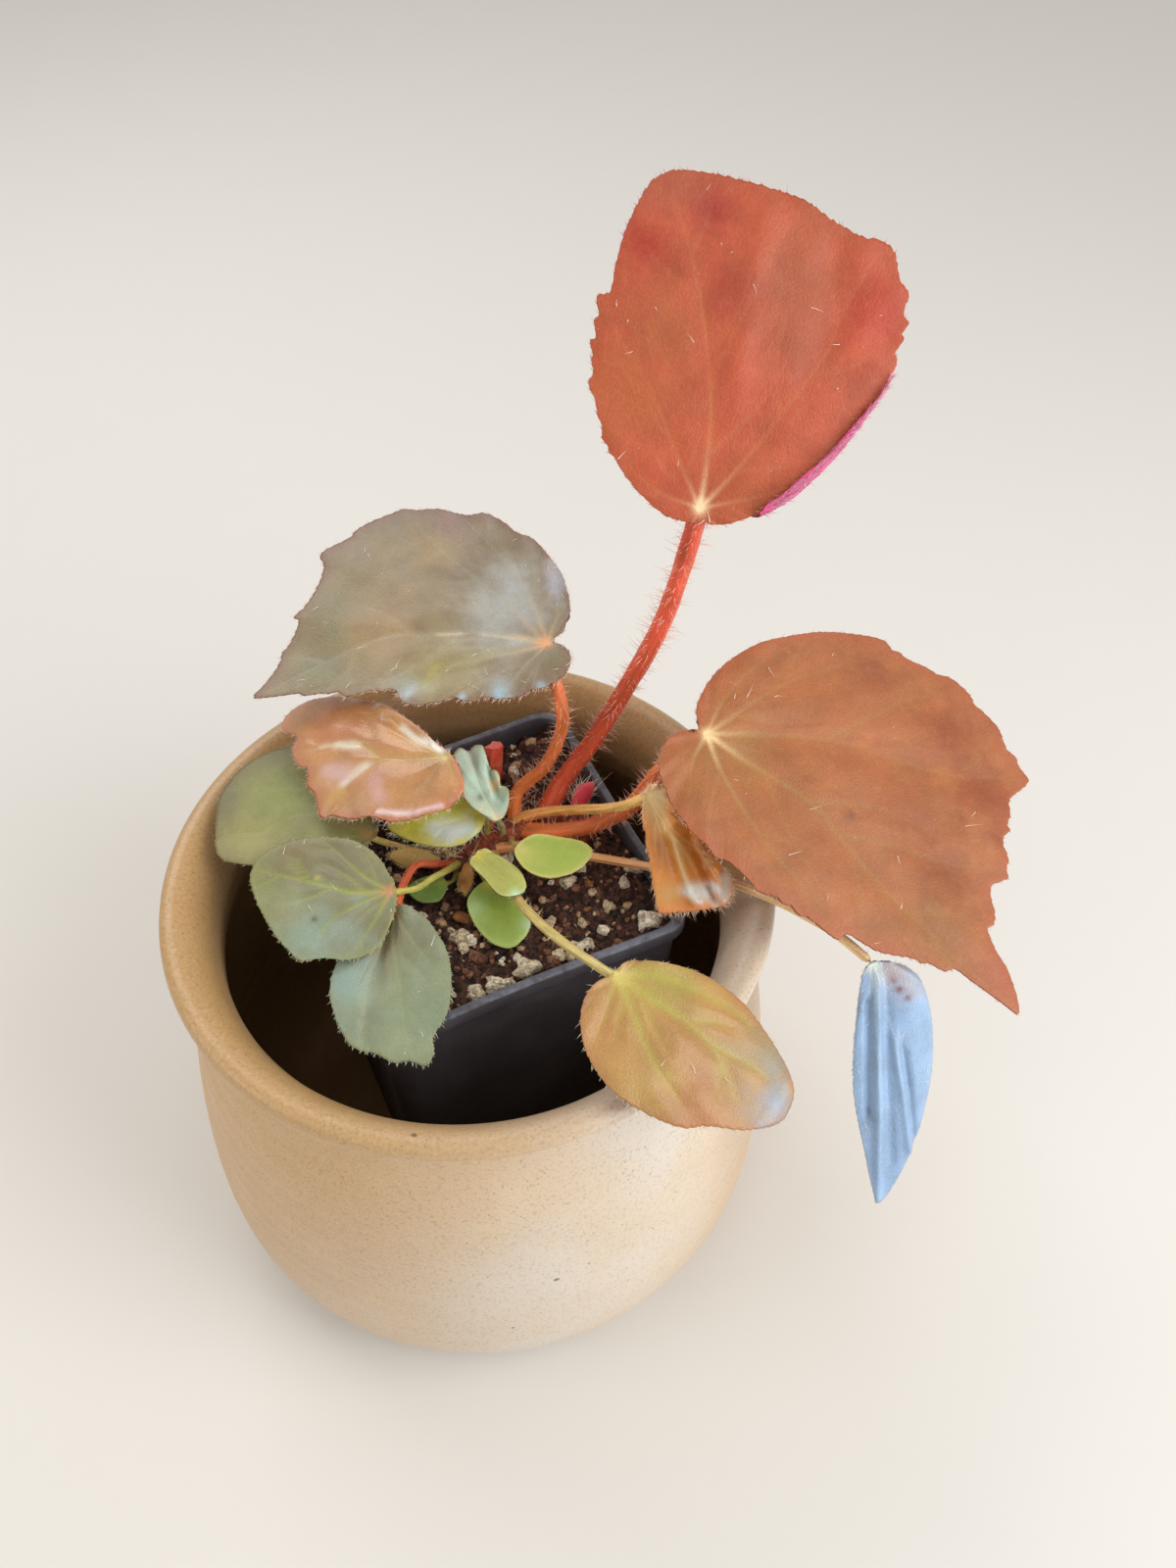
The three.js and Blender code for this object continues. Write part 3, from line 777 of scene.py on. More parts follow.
@dataclass(frozen=True)
class BladeFinish:
    """Leaf skin in the colour painted on it: fine cells, faint net veins, soft clouds and a bloom."""

    name: str
    label: str
    roughness: float
    coat: float
    cell: float
    shade: float

    def material(self) -> Coating:
        """Builds the material."""
        surface = Surface(
            self.name, Coat_Weight=self.coat, Coat_Roughness=0.2, Specular_IOR_Level=0.35, Subsurface_Weight=0.06,
            Subsurface_Radius=(0.0014, 0.0008, 0.0004), Subsurface_Scale=1.0,
        )
        surface.colour = surface.tint(self.label)
        surface.lay(1.0, (self.shade, self.shade * 0.95, self.shade * 0.9), "MULTIPLY")
        mottle, pebbles = surface.noise(2.6, 5, 0.65), surface.cells(self.cell)
        surface.patch(surface.noise(9, 3, 0.55), 0.5, 0.75, 0.3, (0.68, 0.6, 0.55), "MULTIPLY")
        surface.patch(mottle, 0.5, 0.75, 0.22, (0.68, 0.6, 0.55), "MULTIPLY")
        surface.patch(mottle, 0.46, 0.28, 0.04, (0.5, 0.46, 0.34), "ADD")
        net = surface.between(surface.cells(self.cell * 4, "DISTANCE_TO_EDGE"), 0.08, 0.0)
        surface.lay(net * surface.noise(14, 2) * 0.05, (0.5, 0.48, 0.3), "ADD")
        surface.patch(pebbles, 0.2, 0.6, 0.14, (0.5, 0.45, 0.42), "MULTIPLY")
        relief = 0.8 * (1 - pebbles) + 0.6 * surface.noise(2.2, 3) - 0.3 * net
        return surface.finished(self.roughness - 0.1 + 0.22 * surface.noise(1.8, 4, 0.65), relief, 0.14, 0.7)


# The pots


@dataclass
class CoverPot:
    """The thrown stoneware pot, turned from its profile as radius and height in millimetres."""

    outside: list[Spot] = field(default_factory=lambda: rows(
        "0.01 0, 24 0, 44 0, 48 0.3, 54 1.2, 61 3, 71 8, 77 14, 80 22, 80.8 34, 80 52, 77.8 72, 74.5 92, 70.5 108, "
        "69.2 117, 70.2 121.2, 72.2 124, 74.3 126.6"
    ))
    inside: list[Spot] = field(default_factory=lambda: rows(
        "75 129, 74.2 130.5, 72 131, 69.4 130, 66.8 127.6, 64.8 124, 63.2 119, 62.8 113, 64.4 106, 69 92, 73 72, "
        "75.2 52, 75.5 34, 73 21, 66 12, 56 8, 30 8, 0.01 8"
    ))
    around: int = 180
    rows: int = 210

    def profile(self) -> Array:
        """Lays the rows of the profile, from the foot's middle to the floor's middle."""
        line = smooth_path([*self.outside, *self.inside], self.rows + 1)
        line[:, 1] = np.maximum(line[:, 1], 0)
        line[[0, -1], 0] = 0
        return line

    def build(self) -> Piece:
        """Builds and dresses the pot."""
        profile = self.profile()

        def place(across: Array, along: Array) -> Array:
            """Throws the wall, a little uneven and with faint rings."""
            angle = turn_of(across, self.around)
            radius, height = pick(profile, along).T
            ring = np.stack([np.cos(angle), np.sin(angle), height / 60], 1)
            wobble = 0.25 * unevenness(ring, 2.6, 3, 2) * limited(height / 20)
            rings = 0.1 * np.sin(height * 0.9 + 0.8 * np.sin(angle)) * limited((height - 15) / 30)
            radius = radius + (wobble + rings) * (radius > 5)
            lift = 0.35 * unevenness(ring[:, :2], 2.2, 5, 2) * limited((height - 112) / 14)
            return np.stack([radius * np.cos(angle), radius * np.sin(angle), height + lift], 1)

        def tints(across: Array, along: Array) -> Tints:
            """Marks the inside for its painted shade, the rim, and the lit front-right side for its painted sheen."""
            height = pick(profile, along)[:, 1]
            turned_in = limited((along - 0.57) * 30)
            rim = limited((height - 119) / 6)
            turn = across * 360 - 326 + 60 * (1 - height / 131)
            # the front-right side, lit from the right, gets a painted sheen
            washed = soft(turn, 44) * limited(1.6 - 0.6 * rim) * (1 - turned_in)
            return {"inside": turned_in * limited((131 - height) / 60), "rim": rim, "washed": washed}

        pot = shaped_grid("stoneware_pot", self.around, self.rows, place, tints)
        return finish_piece(pot, [Stoneware().material()], "stoneware", "cover_pot")


def rounded_square(share: Array, side: Array, corner: Array) -> Array:
    """Walks round squares with round corners.

    Args:
        share: how far round, from 0 to 1.
        side: side lengths.
        corner: corner radii.

    Returns:
        Points in the plane, one row each.
    """
    reach = side / 2 - corner
    arc = corner * math.pi / 2
    quarter = 2 * reach + arc
    walked = (share % 1) * 4 * quarter
    turn = np.floor(walked / quarter - 1e-9).clip(0, 3)
    rest = walked - turn * quarter
    angle = limited((rest - reach) / np.maximum(arc, 1e-9)) * math.pi / 2
    x = reach + corner * np.cos(angle) - np.maximum(rest - reach - arc, 0)
    y = np.minimum(rest, reach) + corner * np.sin(angle)
    spin = turn * math.pi / 2
    return np.stack([x * np.cos(spin) - y * np.sin(spin), x * np.sin(spin) + y * np.cos(spin)], 1)


@dataclass
class NurseryPot:
    """The square nursery pot, with tapered walls, a lip and drain holes."""

    centre: Spot = (0.8, 7)
    turn: float = math.radians(26.4)
    top: float = 126
    bottom: float = 8.3
    lip: float = 5
    lip_side: float = 81
    top_side: float = 78.5
    bottom_side: float = 69
    corner: float = 7
    wall: float = 1.2
    drain: float = 4
    drain_offset: float = 20
    around: int = 200

    def side_at(self, height: float) -> float:
        """Gives the outer side length at a height."""
        share = (height - self.bottom) / (self.top - self.bottom)
        return self.bottom_side + share * (self.top_side - self.bottom_side)

    def turned(self, points: Array) -> Array:
        """Turns points of the pot's own frame to where the pot stands."""
        cos, sin = math.cos(self.turn), math.sin(self.turn)
        x, y = points[:, 0], points[:, 1]
        placed = points.copy()
        placed[:, 0] = self.centre[0] + x * cos - y * sin
        placed[:, 1] = self.centre[1] + x * sin + y * cos
        return placed

    def rings(self) -> Array:
        """Lists side, height, corner and wear of each ring, from the foot over the lip to the floor."""
        low, high, top, edge = self.bottom, self.top - self.lip, self.top, self.lip_side
        outer, inner = self.corner, self.side_at(self.top) - 2 * self.wall
        fine = [low + (high - low) * share for share in np.linspace(0, 1, 14)]
        floor = low + self.wall
        return np.array([
            (0, low, 0, 0), (self.bottom_side - 2, low, outer - 1, 0),
            *((self.side_at(h), h + (0.6 if h == low else 0), outer, 0) for h in fine),
            (edge - 0.6, high + 0.3, outer, 0.1), (edge, high + 1, outer, 0.25), (edge, high + 2.2, outer, 0.05),
            (edge, top - 0.9, outer, 0.15), (edge - 0.3, top - 0.2, outer, 1), (edge - 1, top, outer, 1),
            (inner + 0.8, top, outer - 1, 0.5), (inner, top - 0.6, outer - 1, 0.2),
            *((self.side_at(h) - 2 * self.wall, h, outer - 1.2, 0) for h in (top - 3, top - 8, 90, 50, floor + 1)),
            (self.bottom_side - 6, floor, outer - 2, 0), (0, floor, 0, 0),
        ], float)

    def build(self) -> Piece:
        """Builds and dresses the pot."""
        rings = self.rings()

        def place(across: Array, along: Array) -> Array:
            """Lays the rings, with softly bowed walls and a slack lip."""
            side, height, corner, _ = pick(rings, along).T
            flat = rounded_square(across, side, np.minimum(corner, side / 2))
            bow = 0.5 * np.sin(across * 8 * math.pi - 1.2) * limited((height - 30) / 90)
            flat *= (1 + bow / np.maximum(side, 30))[:, None]
            sag = 0.25 * np.sin(across * 6 * math.pi) * (height > self.top - 6)
            return self.turned(np.column_stack([flat, height + sag]))

        def tints(across: Array, along: Array) -> Tints:
            """Marks how worn the rings are."""
            return {"wear": pick(rings, along)[:, 3]}

        pot = shaped_grid("black_nursery_pot", self.around, len(rings) - 1, place, tints)
        for x in (-self.drain_offset, self.drain_offset):
            for y in (-self.drain_offset, self.drain_offset):
                self.drill(pot, (x, y))
        activate(pot)
        bpy.ops.object.shade_smooth_by_angle(angle=math.radians(40))
        return finish_piece(pot, [BlackPlastic().material()], "black_plastic", "nursery_pot")

    def drill(self, pot: Piece, spot: Spot) -> None:
        """Cuts one drain hole.

        Args:
            pot: the pot.
            spot: the hole's middle in the pot's own frame.
        """
        middle = self.turned(np.array([[*spot, self.bottom]]))[0]
        deselect()
        bpy.ops.mesh.primitive_cylinder_add(
            vertices=24, radius=self.drain * MM, depth=6 * MM, location=tuple(middle * MM)
        )
        drill = bpy.context.object
        apply_modifier(pot, "BOOLEAN", operation="DIFFERENCE", solver="EXACT", object=drill)
        bpy.data.objects.remove(drill)


@dataclass
class PottingBed:
    """The potting mix with its crumbs, perlite, bark and fibres."""

    pot: NurseryPot
    top: float = 121
    gap: float = 0.3
    perlite: list[Point] = field(default_factory=lambda: rows(
        "15 -24 2.9, 44 -9 3.1, 28.5 -15 2.6, -2 -14 2.3, 3 -30 2.2, 8 -28 2.7, 24 3 2.2, 38 3 1.8, 41 8 2.2, "
        "34 -4 1.6, 25 -19 1.5, 20 -9 1.4, -1 -17.5 1.6, -8 -18 1.3, 10 33 1.3, 19 36 1.2, 30 -1 1.3, 12 -20 1.3"
    ))
    around: int = 380
    rings: int = 100
    seed: int = 21

    def relief(self, flat: Array) -> Array:
        """Gives the height of the mix above its mean level at places in millimetres."""
        broad = 0.9 * unevenness(flat, 22, 31, 2)
        return broad + (0.7 * unevenness(flat, 5.5, 32, 2) + 0.6 * np.abs(unevenness(flat, 2.8, 33, 2)))

    def build(self) -> list[Piece]:
        """Builds and dresses the bed and all that lies on it."""
        return [self.mix(), self.crumbs(), self.perlite_grains(), self.bark(), self.fibres()]

    def mix(self) -> Piece:
        """Builds the mix itself, a closed block with a rough top."""
        inset = self.pot.wall + self.gap
        low = self.pot.bottom + inset
        top_side, low_side = (self.pot.side_at(height) - 2 * inset for height in (self.top, low))
        table = np.array([
            *((top_side * share, self.top, 1) for share in np.linspace(0, 1, self.rings)),
            (top_side, self.top - 2.5, 0), ((top_side + low_side) / 2, 65, 0), (low_side, low, 0), (0, low, 0),
        ])

        def place(across: Array, along: Array) -> Array:
            """Lays the rings, rough on top."""
            side, height, rough = pick(table, along).T
            placed = self.pot.turned(np.column_stack([rounded_square(across, side, side * 0.07), height]))
            placed[:, 2] += rough * self.relief(placed[:, :2])
            return placed

        def tints(across: Array, along: Array) -> Tints:
            """Makes the mix lighter and darker in patches."""
            shade = 0.75 + 0.4 * unevenness(place(across, along)[:, :2], 9, 35, 3)
            return {"tint": np.clip(shade, 0.2, 1.3)[:, None] * np.array([1.0, 0.92, 0.86])}

        bed = shaped_grid("potting_mix_bed", self.around, len(table) - 1, place, tints)
        return finish_piece(bed, [PottingMix().material()], "potting_mix", "soil")

    def strewn(self, count: int, margin: float, random: Chance) -> Array:
        """Draws places on the mix.

        Args:
            count: how many.
            margin: how far they keep from the wall.
            random: the source of chance.

        Returns:
            Points on the surface, one row each.
        """
        reach = self.pot.side_at(self.top) / 2 - margin
        flat = self.pot.turned(random.uniform(-reach, reach, (count, 2)))
        return np.column_stack([flat, self.top + self.relief(flat)])

    def lumps(
        self, name: str, pattern: Pattern, places: Array, sizes: Array, colours: Sequence[Colour], rough: float,
        flat: float, finish: Grain, random: Chance,
    ) -> Piece:
        """Turns, squashes and roughens copies of a pattern and dresses them.

        Args:
            name: name of the piece.
            pattern: the ball or the chip.
            places: where the copies lie.
            sizes: their radii.
            colours: their tints.
            rough: how uneven they are.
            flat: their height as a share of their width.
            finish: their finish.
            random: the source of chance.

        Returns:
            The piece.
        """
        bodies = []
        for place, size in zip(places, sizes):
            bumps = 1 + rough * unevenness(pattern.corners, 1.6, int(random.integers(1 << 30)), 2)
            stretch = random.uniform((0.75, 0.75, flat), (1.25, 1.25, flat * 1.25))
            spin = np.array(Matrix.Rotation(random.uniform(0, 6.28), 3, "Z"))
            tip = np.array(Matrix.Rotation(random.normal(0, 0.35), 3, "X"))
            bodies.append(place + size * (pattern.corners * bumps[:, None] * stretch) @ tip.T @ spin.T)
        return finish_piece(pattern.copies(name, bodies, colours), [finish.material()], "potting_mix")

    def crumbs(self) -> Piece:
        """Builds small dark crumbs all over the mix."""
        random = np.random.default_rng(self.seed)
        places = self.strewn(2200, 2.2, random)
        sizes = random.gamma(3, 0.2, len(places)).clip(0.25, 1.9)
        tones = [paint(code) for code in (0x54342A, 0x94644A, 0x24140F, 0xC8A27A, 0x704632)]
        colours = [tones[i] for i in random.choice(5, len(places), p=(0.24, 0.22, 0.32, 0.1, 0.12))]
        finish = Grain("peat_crumb", paint(0x24150F), 0.6, 0.8, 0.85)
        return self.lumps("peat_crumbs", grain_pattern(1), places, sizes, colours, 0.25, 0.75, finish, random)

    def perlite_grains(self) -> Piece:
        """Builds the pale perlite: the grains seen in the photo and small ones strewn about."""
        random = np.random.default_rng(self.seed + 1)
        seen = np.array(self.perlite)
        small = self.strewn(110, 3, random)
        flat = np.vstack([seen[:, :2], small[:, :2]])
        places = np.column_stack([flat, self.top + self.relief(flat) + 0.2])
        sizes = np.concatenate([seen[:, 2], random.gamma(4, 0.17, len(small)).clip(0.35, 1.5)])
        places[:, 2] += 0.15 * sizes
        colours = [soft_white(random, 0xD8C096, 0xFFF6E0) for _ in places]
        finish = Grain("perlite_grain", paint(0x543A26), 0.6, 0.6)
        return self.lumps("perlite", grain_pattern(3), places, sizes, colours, 0.34, 0.8, finish, random)

    def bark(self) -> Piece:
        """Builds bark chips lying flat, one of them large."""
        random = np.random.default_rng(self.seed + 2)
        places = np.vstack([[-1, -9, self.top + 1.3], self.strewn(34, 4, random)])
        sizes = np.concatenate([[2.6], random.uniform(0.7, 1.7, 34)])
        tones = [paint(code) for code in (0xA86E3E, 0x805234, 0x5C3A28, 0x967654)]
        colours = [tones[i] for i in (0, *random.integers(0, 4, 34))]
        finish = Grain("bark_chip", paint(0x3C2418), 0.5, 1.2)
        return self.lumps("bark_chips", chip_pattern(), places, sizes, colours, 0.15, 0.9, finish, random)

    def fibres(self) -> Piece:
        """Builds thin peat fibres that lie about."""
        random = np.random.default_rng(self.seed + 3)
        coat = HairCoat("peat_fibres")
        for root in self.strewn(90, 4, random):
            angle = random.uniform(0, 2 * math.pi)
            aim = np.array([math.cos(angle), math.sin(angle), random.uniform(0, 0.35)])
            tone = soft_white(random, 0x5A3E2A, 0xB4926E)
            coat.add(root, aim, random.uniform(2, 6), random.uniform(0.08, 0.16), random.normal(0, 0.25, 3), tone)
        return coat.build("potting_mix")


# The plant


@dataclass
class HairCoat:
    """A coat of single hairs, gathered one by one and built as one piece."""

    name: str
    bodies: list[Array] = field(default_factory=list)
    colours: list[Colour] = field(default_factory=list)
    pattern: Pattern = field(default_factory=hair_pattern)

    def add(self, root: Array, aim: Array, length: float, width: float, bend: Array, colour: Colour) -> None:
        """Adds one hair.

        Args:
            root: where it grows, in millimetres.
            aim: where it points at its root.
            length: its length.
            width: its width at the root.
            bend: which way and how far its tip leans.
            colour: its tint.
        """
        aim = unit(aim)
        side = unit(np.cross(aim, (0.31, 0.52, 0.79)))
        x, y, z = self.pattern.corners.T
        body = root + np.outer(z * length, aim) + np.outer(z**2 * length, bend)
        body += np.outer(x * width / 2, side) + np.outer(y * width / 2, np.cross(aim, side))
        self.bodies.append(body)
        self.colours.append(colour)

    def build(self, slot: str) -> Piece:
        """Builds the coat and dresses it."""
        piece = self.pattern.copies(self.name, self.bodies, self.colours)
        return finish_piece(piece, [HairFinish(f"{self.name}_hair").material()], slot)


def skin_places(angle: Array, along: Array, radius: float, length: float) -> Array:
    """Spreads a stem's skin in space, where unevenness is read."""
    return np.stack([radius * np.cos(angle), radius * np.sin(angle), along * length], 1)


@dataclass(frozen=True)
class Stem:
    """A stem along a path in millimetres, with a colour at its foot and at its top and hairs to a millimetre."""

    path: list[Point]
    radius: float
    foot: int
    top: int
    hairs: float
    hair_length: float
    slot: str = "stem_red"
    steps: int = 110
    around: int = 26
    hair_steps: int = 200

    def spine(self, steps: int) -> Spine:
        """Lays the centre line in a number of steps."""
        return Spine.along(self.path, steps, (0.2, 1.0, 0.1))

    def build(self, leaf: str, finish: Coating) -> Piece:
        """Builds and dresses the stem.

        Args:
            leaf: name of the leaf that it bears.
            finish: its material.

        Returns:
            The stem.
        """
        name = f"stalk_{leaf}"
        spine = self.spine(self.steps)
        seed = len(name) * 7 + int(self.radius * 100)

        def place(across: Array, along: Array) -> Array:
            """Runs the skin round the centre line, flared at both ends, furrowed and knobbly."""
            angle = turn_of(across, self.around)
            flare = 0.35 * np.exp(-along * 9) + 0.12 * np.exp((along - 1) * 30)
            furrows = 0.045 * np.cos(5 * angle + 3 * along) + 0.03 * np.cos(9 * angle - 5 * along)
            knobs = 0.06 * unevenness(skin_places(angle, along, 3, 40), 6, seed, 2)
            end = np.sqrt(limited(np.minimum(along, 1 - along) * self.steps / 2))
            width = self.radius * (1.08 - 0.16 * along + flare + furrows + knobs) * end
            return spine.point(along, width * np.cos(angle), 0.9 * width * np.sin(angle))

        def tints(across: Array, along: Array) -> Tints:
            """Blends the foot's colour into the top's, with streaks."""
            streak = unevenness(skin_places(across * 2 * math.pi, along, 4, 12), 3, seed + 1, 3)
            colour = blend(ink(self.foot), self.top, limited(along + 0.18 * streak)[:, None])
            return {"tint": colour * (1 + 0.22 * streak)[:, None]}

        stem = shaped_grid(name, self.around, self.steps, place, tints)
        return finish_piece(stem, [finish], self.slot, f"petiole_{leaf}")

    def grow_hairs(self, coat: HairCoat, colour: Array, seed: int) -> None:
        """Adds hairs that stand off the stem.

        Args:
            coat: the coat that takes them.
            colour: their tint.
            seed: picks their places.
        """
        random = np.random.default_rng(seed)
        spine = self.spine(self.hair_steps)
        length = np.linalg.norm(np.diff(spine.line, axis=0), axis=1).sum()
        for _ in range(int(self.hairs * length)):
            index = int(random.integers(8, self.hair_steps - 2))
            angle = random.uniform(0, 2 * math.pi)
            out = spine.side[index] * math.cos(angle) + spine.other[index] * math.sin(angle)
            aim = out + spine.ahead[index] * random.normal(0.1, 0.35)
            size = self.hair_length * random.uniform(0.4, 1.3)
            root = spine.line[index] + out * self.radius * 0.85
            tone = tuple(c * random.uniform(0.8, 1.2) for c in colour)
            coat.add(root, aim, size, random.uniform(0.15, 0.24), random.normal(0, 0.22, 3), tone)


class Fineness(Enum):
    """How finely a blade is meshed: rays round the hub and rings, then pitch and depth of its teeth."""

    LARGE = (560, 50, 2.1, 0.5)
    MEDIUM = (280, 28, 1.9, 0.4)
    SMALL = (110, 16, 2.6, 0.2)


@dataclass(frozen=True)
class Vein:
    """A main vein along points on the blade, in millimetres, with a number of side veins."""

    path: list[Spot]
    width: float
    strength: float
    side_veins: int


def veins(text: str) -> list[Vein]:
    """Reads veins, parted by semicolons: width, strength and side veins, a colon, and the points."""
    table = [vein.split(":") for vein in text.split(";")]
    heads = [(path, *head.split()) for head, path in table]
    return [Vein(rows(path), float(width), float(strength), int(sides)) for path, width, strength, sides in heads]


@dataclass(frozen=True)
class Roll:
    """A stretch of margin, between two directions from the hub in degrees, that rolls up and is hairy below."""

    start: float
    end: float
    width: float
    radius: float
    hairs: int


@dataclass(frozen=True)
class LeafLook:
    """The colours of a leaf, its slot, how clear its veins are, its gloss, and its quilting, waves and coloured rim."""

    body: int
    margin: int
    vein: int
    hub: int
    under: int
    slot: str
    vein_share: float
    roughness: float
    coat: float
    quilt: float
    wave: float
    margin_width: float


@dataclass(frozen=True)
class Fringe:
    """Hairs to a millimetre of a leaf's margin, their length and colour, and the number of hairs on its face."""

    hairs: float
    length: float
    colour: int = 0xECCEBA
    on_face: int = 0


@dataclass
class Leaf:
    """A lopsided blade on its petiole, in millimetres.

    Patches are soft blots or streaks: one end or two, a radius, a colour and a strength; on some leaves they are
    painted highlights, sheen, reflections and shade. Creases are ridges, or folds where their height is negative: two
    ends, a height and a width.
    Curls are lines beyond which the blade rolls back: two ends and a radius. The outline runs anticlockwise, seen from
    above.
    """

    name: str
    fineness: Fineness
    hub: Point
    along: Point
    face: Point
    bend: float
    cup: float
    outline: list[Spot]
    look: LeafLook
    petiole: Stem | None
    fringe: Fringe
    seed: int
    veins: list[Vein] = field(default_factory=list)
    # blots of the leaf's own colour, and painted highlights, sheen, reflections and shade
    blots_and_painted_light: list[Patch] = field(default_factory=list)
    creases: list[Crease] = field(default_factory=list)
    curls: list[Crease] = field(default_factory=list)
    roll: Roll | None = None
    thickness: float = 0.55

    def __post_init__(self) -> None:
        """Works out the blade's axes, its margin and its vein network."""
        self.out = unit(np.array(self.face, float))
        tip = np.array(self.along, float)
        self.tip = unit(tip - self.out * (tip @ self.out))
        self.across = np.cross(self.out, self.tip)
        corners = np.array(self.outline, float)
        self.length = corners[:, 0].max()
        self.width = np.abs(corners[:, 1]).max()
        self.rays, self.rings, self.pitch, self.depth = self.fineness.value
        self.margin = self.toothed(smooth_path(corners, self.rays, closed=True))
        self.segments = self.vein_segments()

    def toothed(self, margin: Array) -> Array:
        """Cuts uneven teeth that lean to the tip into the margin.

        Args:
            margin: the smooth margin.

        Returns:
            The toothed margin, never turning back round the hub.
        """
        steps = step_lengths(margin)
        walked = np.concatenate([[0], np.cumsum(steps)[:-1]])
        random = np.random.default_rng(self.seed)
        reach = np.linalg.norm(margin, axis=1)
        edges = np.cumsum(random.uniform(0.5, 1.5, max(int(steps.sum() / self.pitch), 5)))
        edges = np.concatenate([[0], edges / edges[-1]]) * steps.sum()
        tooth = np.searchsorted(edges, walked, side="right") - 1
        share = (walked - edges[tooth]) / (edges[tooth + 1] - edges[tooth])
        share = np.where(walked < steps.sum() / 2, 1 - share, share)
        saw = np.where(share < 0.84, share / 0.84, (1 - share) / 0.16)
        growth = self.depth * random.uniform(0.35, 1.1, len(edges))[tooth] * (saw - 0.5)
        growth = growth * limited(reach / 14) + self.rolled(margin)
        least = 0.45 / len(margin) * np.arange(len(margin))
        turn = np.maximum.accumulate(np.unwrap(np.arctan2(margin[:, 1], margin[:, 0])) - least) + least
        return (reach + growth)[:, None] * np.stack([np.cos(turn), np.sin(turn)], 1)

    def rolled(self, flat: Array) -> Array:
        """Gives how wide the margin rolls up in the direction of each place on the blade."""
        if not self.roll:
            return np.zeros(len(flat))
        angle = np.degrees(np.arctan2(flat[:, 1], flat[:, 0]))
        share = limited((angle - self.roll.start) / (self.roll.end - self.roll.start))
        return self.roll.width * np.sin(math.pi * share) ** 0.7

    def vein_segments(self) -> Array:
        """Lists the vein network as rows of start, end, width and strength."""
        network = []
        for vein in self.veins:
            line = smooth_path(vein.path, 24)
            fade = np.linspace(1, 0.35, len(line))
            for start, end, left in zip(line, line[1:], fade):
                network.append([*start, *end, vein.width * left, vein.strength * left])
            total = np.linalg.norm(line[-1] - line[0])
            for k in range(vein.side_veins):
                side = 1 if k % 2 else -1
                share = 0.2 + 0.65 * k / max(vein.side_veins - 1, 1)
                index = int(share * (len(line) - 2))
                start = line[index]
                ahead = line[index + 1] - start
                angle = math.atan2(ahead[1], ahead[0]) + 0.85 * side
                size = 0.42 * total * (1 - 0.6 * share)
                for j in range(6):
                    bend = angle - 0.09 * side * j
                    end = start + size / 6 * np.array([math.cos(bend), math.sin(bend)])
                    level = 0.6 * vein.strength * (1 - j / 7)
                    network.append([*start, *end, vein.width * 0.7 * (1 - j / 10), level])
                    start = end
        return np.array(network).reshape(-1, 6)

    def vein_levels(self, flat: Array) -> tuple[Array, Array]:
        """Measures how strongly points lie on a vein.

        Args:
            flat: places on the blade.

        Returns:
            The level from 0 to 1, and the distance to the nearest vein.
        """
        level = np.zeros(len(flat))
        nearest = np.full(len(flat), 99.0)
        for *ends, width, strength in self.segments:
            gap = gap_to(flat, ends[:2], ends[2:])
            level = np.maximum(level, strength * soft(gap, width))
            nearest = np.minimum(nearest, gap + 2 * (1 - strength))
        return level, nearest

    def lift(self, flat: Array, reach: Array) -> Array:
        """Gives the height of the blade over its plane.

        Args:
            flat: places on the blade.
            reach: their share of the way from the hub to the margin.

        Returns:
            The heights.
        """
        u, v = flat.T
        height = -self.bend * (np.maximum(u, 0) / self.length) ** 2 + self.cup * (v / self.width) ** 2
        level, nearest = self.vein_levels(flat)
        size = self.length / 60
        height += self.look.quilt * (1 - soft(nearest, 3.2 * size + 1)) * (1 - reach**6)
        height -= 0.25 * self.look.quilt * level
        height += 0.25 * size * unevenness(flat, 18 * size + 4, self.seed + 5, 2)
        angle = np.arctan2(v, u)
        ring = np.stack([np.cos(angle), np.sin(angle)], 1) * self.length / 2
        height += self.look.wave * reach**3 * unevenness(ring, 14 * size + 5, self.seed + 6, 2) * 0.7
        for *ends, rise, width in self.creases:
            height += rise * soft(gap_to(flat, ends[:2], ends[2:]), width)
        return height

    def surface(self, flat: Array, reach: Array, raised: float = 0.0) -> Array:
        """Places points of the blade in space.

        Args:
            flat: places on the blade.
            reach: their share of the way from the hub to the margin.
            raised: how far above the blade's middle they lie.

        Returns:
            Points in millimetres.
        """
        height = self.lift(flat, reach)
        flat = flat.copy()
        if self.roll:
            radius = self.roll.radius
            size = np.maximum(np.linalg.norm(flat, axis=1), 1e-6)
            beyond = np.maximum(self.rolled(flat) - size * (1 / np.maximum(reach, 0.05) - 1), 0)
            turn = np.minimum(beyond / radius, MOST_ROLLED)
            rest = beyond - turn * radius
            inward = beyond - radius * np.sin(turn) - rest * np.cos(turn)
            flat *= (1 - inward / size)[:, None]
            height += radius * (1 - np.cos(turn)) + rest * np.sin(turn)
        for *ends, radius in self.curls:
            start, end = np.array(ends[:2]), np.array(ends[2:])
            run = unit(end - start)
            normal = np.array([run[1], -run[0]])
            if normal @ (start + end) < 0:
                normal = -normal
            beyond = np.maximum((flat - start) @ normal, 0)
            turn = np.minimum(beyond / radius, MOST_CURLED)
            flat -= normal * (beyond - radius * np.sin(turn))[:, None]
            height -= radius * (1 - np.cos(turn))
        u, v = flat.T
        base = np.array(self.hub, float)
        return base + np.outer(u, self.tip) + np.outer(v, self.across) + np.outer(height + raised, self.out)

